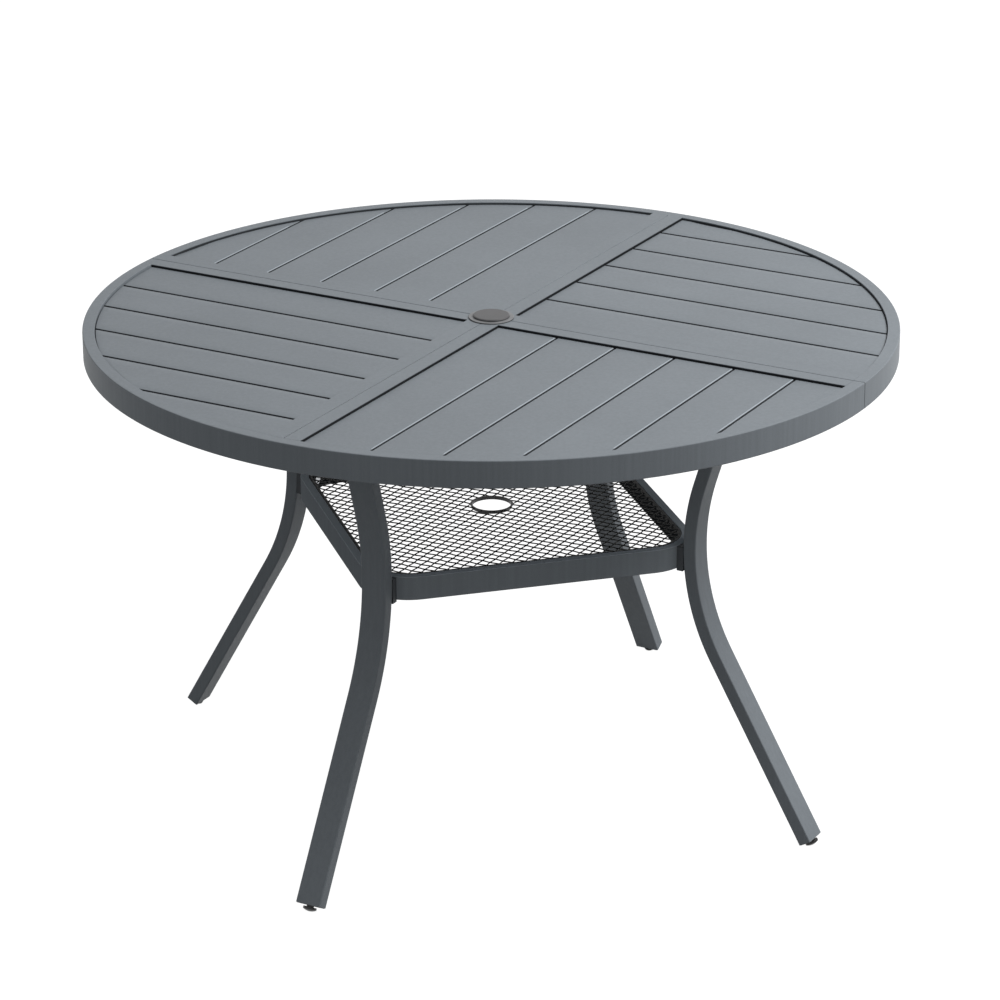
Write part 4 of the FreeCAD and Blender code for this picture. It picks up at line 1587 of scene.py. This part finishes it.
    def make_mesh(self) -> None:
        """Open mesh of strands both ways, cut round the ring, with a flat border along the frame.
        """
        surface = Surface()
        for grid in self.strands(self.row_pitch, self.column_pitch, self.row_half_width):
            surface.add_grid(grid, loop_columns=True, capped=True)
        for grid in self.strands(self.column_pitch, self.row_pitch, self.column_half_width):
            quarter = turned(grid, 90.0)
            quarter[..., 2] = 2 * self.mesh_middle - quarter[..., 2]
            surface.add_grid(quarter, loop_columns=True, capped=True)
        half = self.border / 2
        section = rounded_rectangle(
            half, self.strand_half_height, self.border_edge_radius, self.border_edge_steps
        )
        edge = section + np.array([self.bar_thickness + half, self.mesh_middle])
        surface.add_grid(self.ring_of(edge), loop_rows=True, loop_columns=True)
        piece = surface.to_object("shelf_open_mesh", self.mesh_sharp_degrees)
        fit_piece(piece, self.finishes.mesh_coat, "shelf_mesh")

    def make_ring(self) -> None:
        """Flanged ring that lines the hole in the mesh."""
        bore = self.ring_bore
        sleeve = bore + self.ring_wall
        flange_low = self.ring_high - self.ring_flange
        corners = [
            (bore, self.ring_low),
            (sleeve, self.ring_low),
            (sleeve, flange_low),
            (self.ring_radius, flange_low),
            (self.ring_radius, self.ring_high),
            (bore, self.ring_high),
        ]
        edge = self.ring_edge_radius
        outline = rounded_outline(corners, [edge, edge, 0.0, edge, edge, edge], self.edge_steps)
        grid = revolved(outline, self.ring_steps)
        surface = Surface().add_grid(grid, loop_rows=True, loop_columns=True)
        piece = surface.to_object("shelf_hole_ring")
        weigh_normals(piece)
        fit_piece(piece, self.finishes.black_plastic, "shelf_ring")

    def saddle(self) -> np.ndarray:
        """Grid of the saddle between the frame's corner and the leg at +X.

        Across the leg, at a distance t from its middle, the hollow face lies on the corner's
        circle, at the circle's centre plus the root of the radius squared less t squared.

        Returns:
            Grid of heights by points round the saddle.
        """
        t = np.linspace(-self.saddle_half_width, self.saddle_half_width, self.corner_steps + 1)
        near = self.corner_centre + np.sqrt(self.corner_radius**2 - t**2) + self.saddle_gap
        hollow = np.stack([near, t], axis=1)
        far = np.full_like(t, self.leg_face + self.saddle_bite)
        outline = np.concatenate([hollow, np.stack([far, t[::-1]], axis=1)])
        low, high = self.bottom - self.saddle_reach, self.top - self.saddle_drop
        edge = self.saddle_edge_radius
        levels = [(low, edge), (low + edge, 0.0), (high - edge, 0.0), (high, edge)]
        middle = outline.mean(axis=0)
        rows = []
        for height, draw in levels:
            inward = middle - outline
            drawn = outline + draw * inward / np.linalg.norm(inward, axis=1)[:, None]
            rows.append(at_height(drawn, height))
        return np.stack(rows)

    def make_saddles(self) -> None:
        """Four painted saddles that hold the frame's corners off the legs."""
        grid = self.saddle()
        for side in Side:
            surface = Surface().add_grid(turned(grid, side.value), loop_columns=True, capped=True)
            piece = surface.to_object(f"shelf_saddle_{side.label}")
            # The saddles' paint is a darker copy of the table's: painted shade.
            fit_piece(piece, self.finishes.saddle_coat, f"shelf_spacer_{side.label}")

    def build(self) -> None:
        """Makes the frame, the mesh, the ring and the saddles."""
        self.make_frame()
        self.make_mesh()
        self.make_ring()
        self.make_saddles()


@dataclass
class UmbrellaHole:
    """Flanged ring in the middle of the top, and the cap that closes it."""

    sizes: TableSizes
    finishes: Finishes
    bore: float = 20.0 * MILLIMETRE
    sleeve_radius: float = 23.0 * MILLIMETRE
    seat_radius: float = 21.2 * MILLIMETRE
    seat_depth: float = 12.0 * MILLIMETRE
    plug_clearance: float = 0.3 * MILLIMETRE
    plug_depth: float = 10.0 * MILLIMETRE
    plug_wall: float = 2.0 * MILLIMETRE
    flange_edge: float = 0.8 * MILLIMETRE
    cap_edge: float = 2.0 * MILLIMETRE
    fine_edge: float = 0.3 * MILLIMETRE
    edge_steps: int = 6
    round_steps: int = 96

    def make_ring(self) -> None:
        """Ring turned about the upright axis, with a wider seat at its top for the cap."""
        low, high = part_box("umbrella_ring")
        seat = self.sizes.flange_top - self.seat_depth
        corners = [
            (self.bore, low.z),
            (self.sleeve_radius, low.z),
            (self.sleeve_radius, self.sizes.height),
            (high.x, self.sizes.height),
            (high.x, self.sizes.flange_top),
            (self.seat_radius, self.sizes.flange_top),
            (self.seat_radius, seat),
            (self.bore, seat),
        ]
        fine = self.fine_edge
        radii = [fine, fine, 0.0, fine, self.flange_edge, fine, 0.0, fine]
        outline = rounded_outline(corners, radii, self.edge_steps)
        grid = revolved(outline, self.round_steps)
        surface = Surface().add_grid(grid, loop_rows=True, loop_columns=True)
        piece = surface.to_object("umbrella_hole_ring")
        weigh_normals(piece)
        fit_piece(piece, self.finishes.ring_plastic, "umbrella_ring")

    def make_cap(self) -> None:
        """Cap: a flat cover with a round edge and a hollow plug below."""
        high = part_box("umbrella_cap")[1]
        seat = self.sizes.flange_top
        plug = self.seat_radius - self.plug_clearance
        inner = plug - self.plug_wall
        low = seat - self.plug_depth
        closed = [
            (0.0, high.z),
            (high.x, high.z),
            (high.x, seat),
            (plug, seat),
            (plug, low),
            (inner, low),
            (inner, seat),
            (0.0, seat),
        ]
        fine = self.fine_edge
        radii = [0.0, self.cap_edge, fine, 0.0, fine, fine, 0.0, 0.0]
        outline = rounded_outline(closed, radii, self.edge_steps)
        surface = Surface().add_grid(revolved(outline, self.round_steps), loop_rows=True)
        piece = surface.to_object("umbrella_hole_cap")
        weigh_normals(piece)
        plastic = self.finishes.cap_plastic
        fit_piece(piece, plastic, "umbrella_cap", Body.CAP.value)

    def build(self) -> None:
        """Makes the ring and the cap."""
        self.make_ring()
        self.make_cap()


class CarriedNodes:
    """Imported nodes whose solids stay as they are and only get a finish."""

    # Rail whose wall the key light reaches: it gets the lit copy, whose painted shade starts lower.
    lit_rail = "mid_rail_a_right"

    def __init__(self, frame: dict, finishes: Finishes) -> None:
        self.nodes = frame["nodes"]
        parts = frame["record"]["subparts"]
        self.slots = {part["node"]: Slot(part["material_slot"]) for part in parts}
        self.finishes = finishes

    def dress(self) -> None:
        """Gives every node that still shows the material of its slot."""
        for name, node in sorted(self.nodes.items()):
            if node.hide_render:
                continue
            material = self.material_for(name)
            for slot in node.material_slots:
                slot.material = material
            LOG.info("%s keeps its solid, in %s", name, material.name)

    def material_for(self, name: str) -> bpy.types.Material:
        """Material of one node: rails have painted shade at their walls and seams, and the rest
        follows its slot.
        """
        if name == self.lit_rail:
            return self.finishes.lit_rail_coat
        if "_rail" in name:
            return self.finishes.rail_coat
        return self.finishes.for_slot(self.slots[name])


# Studio


def direction(azimuth: float, elevation: float) -> Vector:
    """Direction away from the table, (sin a cos e, -cos a cos e, sin e).

    Args:
        azimuth: Turn a about the upright axis in radians, where 0 is in front.
        elevation: Height e above the horizon in radians.

    Returns:
        Vector with a length of 1.
    """
    level = math.cos(elevation)
    return Vector((math.sin(azimuth) * level, -math.cos(azimuth) * level, math.sin(elevation)))


@dataclass
class Studio:
    """Pale floor, soft lights and a camera at the photograph's angle."""

    sizes: TableSizes
    camera_azimuth: float = math.radians(28.806)
    camera_elevation: float = math.radians(21.227)
    camera_roll: float = -0.00135
    camera_distance: float = 5.7922
    aim_right: float = 0.01283
    aim_up: float = -0.26906
    lens: float = 141.51
    sensor: float = 36.0
    camera_reach: float = 100.0
    floor_size: float = 40.0
    floor_colour: Colour = (0.2, 0.2, 0.2)
    floor_glow: float = 0.98
    ambient_colour: Colour = (0.97, 0.985, 1.0)
    ambient_strength: float = 0.372
    key_power: float = 125.0
    key_size: float = 2.0
    key_azimuth: float = math.radians(112.0)
    key_elevation: float = math.radians(50.0)
    key_distance: float = 4.0

    def axes(self) -> tuple[Vector, Vector, Vector]:
        """Camera's right, up and backward directions, the first two turned by its roll."""
        back = direction(self.camera_azimuth, self.camera_elevation)
        right = Vector((math.cos(self.camera_azimuth), math.sin(self.camera_azimuth), 0.0))
        up = back.cross(right)
        cos, sin = math.cos(self.camera_roll), math.sin(self.camera_roll)
        return right * cos + up * sin, up * cos - right * sin, back

    def make_camera(self) -> None:
        """Camera that looks at the middle of the top from the photograph's side."""
        right, up, back = self.axes()
        data = bpy.data.cameras.new("camera")
        data.lens = self.lens
        data.sensor_width = self.sensor
        data.clip_end = self.camera_reach
        camera = bpy.data.objects.new("camera", data)
        middle = Vector((0.0, 0.0, self.sizes.height))
        place = middle + back * self.camera_distance + right * self.aim_right + up * self.aim_up
        rows = [[right[i], up[i], back[i], place[i]] for i in range(3)]
        camera.matrix_world = Matrix([*rows, [0.0, 0.0, 0.0, 1.0]])
        bpy.context.scene.collection.objects.link(camera)
        bpy.context.scene.camera = camera

    def make_key_light(self) -> None:
        """Makes the square soft light, which faces the middle of the table."""
        data = bpy.data.lights.new("key_light", "AREA")
        data.energy = self.key_power
        data.size = self.key_size
        light = bpy.data.objects.new("key_light", data)
        back = direction(self.key_azimuth, self.key_elevation)
        light.location = Vector((0.0, 0.0, self.sizes.height / 2)) + back * self.key_distance
        light.rotation_mode = "QUATERNION"
        light.rotation_quaternion = (-back).to_track_quat("-Z", "Y")
        bpy.context.scene.collection.objects.link(light)

    @staticmethod
    def seen_directly(tree: bpy.types.NodeTree) -> Socket:
        """Socket that is 1 for camera, glossy and transmission rays, and 0 for the rest."""
        path = tree.nodes.new("ShaderNodeLightPath")
        total = path.outputs["Is Camera Ray"]
        for name in ("Is Glossy Ray", "Is Transmission Ray"):
            node = tree.nodes.new("ShaderNodeMath")
            node.operation = "MAXIMUM"
            tree.links.new(total, node.inputs[0])
            tree.links.new(path.outputs[name], node.inputs[1])
            total = node.outputs[0]
        return total

    def make_world(self) -> None:
        """White for the camera and for reflections, and a dimmer even light for the table."""
        world = bpy.data.worlds.new("studio")
        world.use_nodes = True
        tree = world.node_tree
        tree.nodes.clear()
        output = tree.nodes.new("ShaderNodeOutputWorld")
        mix = tree.nodes.new("ShaderNodeMixShader")
        ambient = tree.nodes.new("ShaderNodeBackground")
        ambient.inputs["Color"].default_value = (*self.ambient_colour, 1.0)
        ambient.inputs["Strength"].default_value = self.ambient_strength
        white = tree.nodes.new("ShaderNodeBackground")
        white.inputs["Color"].default_value = (1.0, 1.0, 1.0, 1.0)
        white.inputs["Strength"].default_value = 1.0
        tree.links.new(self.seen_directly(tree), mix.inputs["Fac"])
        tree.links.new(ambient.outputs[0], mix.inputs[1])
        tree.links.new(white.outputs[0], mix.inputs[2])
        tree.links.new(mix.outputs[0], output.inputs["Surface"])
        bpy.context.scene.world = world

    def make_floor(self) -> None:
        """Pale floor that looks white to the camera and keeps the table's shadow."""
        half = self.floor_size / 2
        y, x = np.meshgrid([-half, half], [-half, half], indexing="ij")
        floor = Surface().add_grid(at_height(np.stack([x, y], axis=-1), 0.0)).to_object("floor")
        material = bpy.data.materials.new("pale_floor")
        material.use_nodes = True
        tree = material.node_tree
        tree.nodes.clear()
        output = tree.nodes.new("ShaderNodeOutputMaterial")
        pale = tree.nodes.new("ShaderNodeBsdfDiffuse")
        pale.inputs["Color"].default_value = (*self.floor_colour, 1.0)
        glow = tree.nodes.new("ShaderNodeEmission")
        glow.inputs["Strength"].default_value = self.floor_glow
        add = tree.nodes.new("ShaderNodeAddShader")
        mix = tree.nodes.new("ShaderNodeMixShader")
        tree.links.new(pale.outputs[0], add.inputs[0])
        tree.links.new(glow.outputs[0], add.inputs[1])
        tree.links.new(self.seen_directly(tree), mix.inputs["Fac"])
        tree.links.new(pale.outputs[0], mix.inputs[1])
        tree.links.new(add.outputs[0], mix.inputs[2])
        tree.links.new(mix.outputs[0], output.inputs["Surface"])
        floor.data.materials.append(material)

    def build(self) -> None:
        """Makes the floor, the lights and the camera, and sets the plain view transform."""
        self.make_floor()
        self.make_world()
        self.make_key_light()
        self.make_camera()
        bpy.context.scene.view_settings.view_transform = "Standard"


def clear_scene() -> None:
    """Removes what a new file starts with."""
    for item in list(bpy.data.objects):
        bpy.data.objects.remove(item)


def main() -> None:
    """Builds the table's pieces, their finishes and the studio."""
    logging.basicConfig(level=logging.INFO, format="%(name)s: %(message)s")
    clear_scene()
    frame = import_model()
    sizes = TableSizes.from_frame()
    finishes = Finishes(sizes)
    Rim(sizes, finishes).build()
    SlatPanels(sizes, finishes).build()
    legs = Legs(sizes, finishes)
    legs.build()
    Feet(finishes, legs).build()
    Shelf(finishes).build()
    UmbrellaHole(sizes, finishes).build()
    CarriedNodes(frame, finishes).dress()
    Studio(sizes).build()


if __name__ == "__main__":
    main()
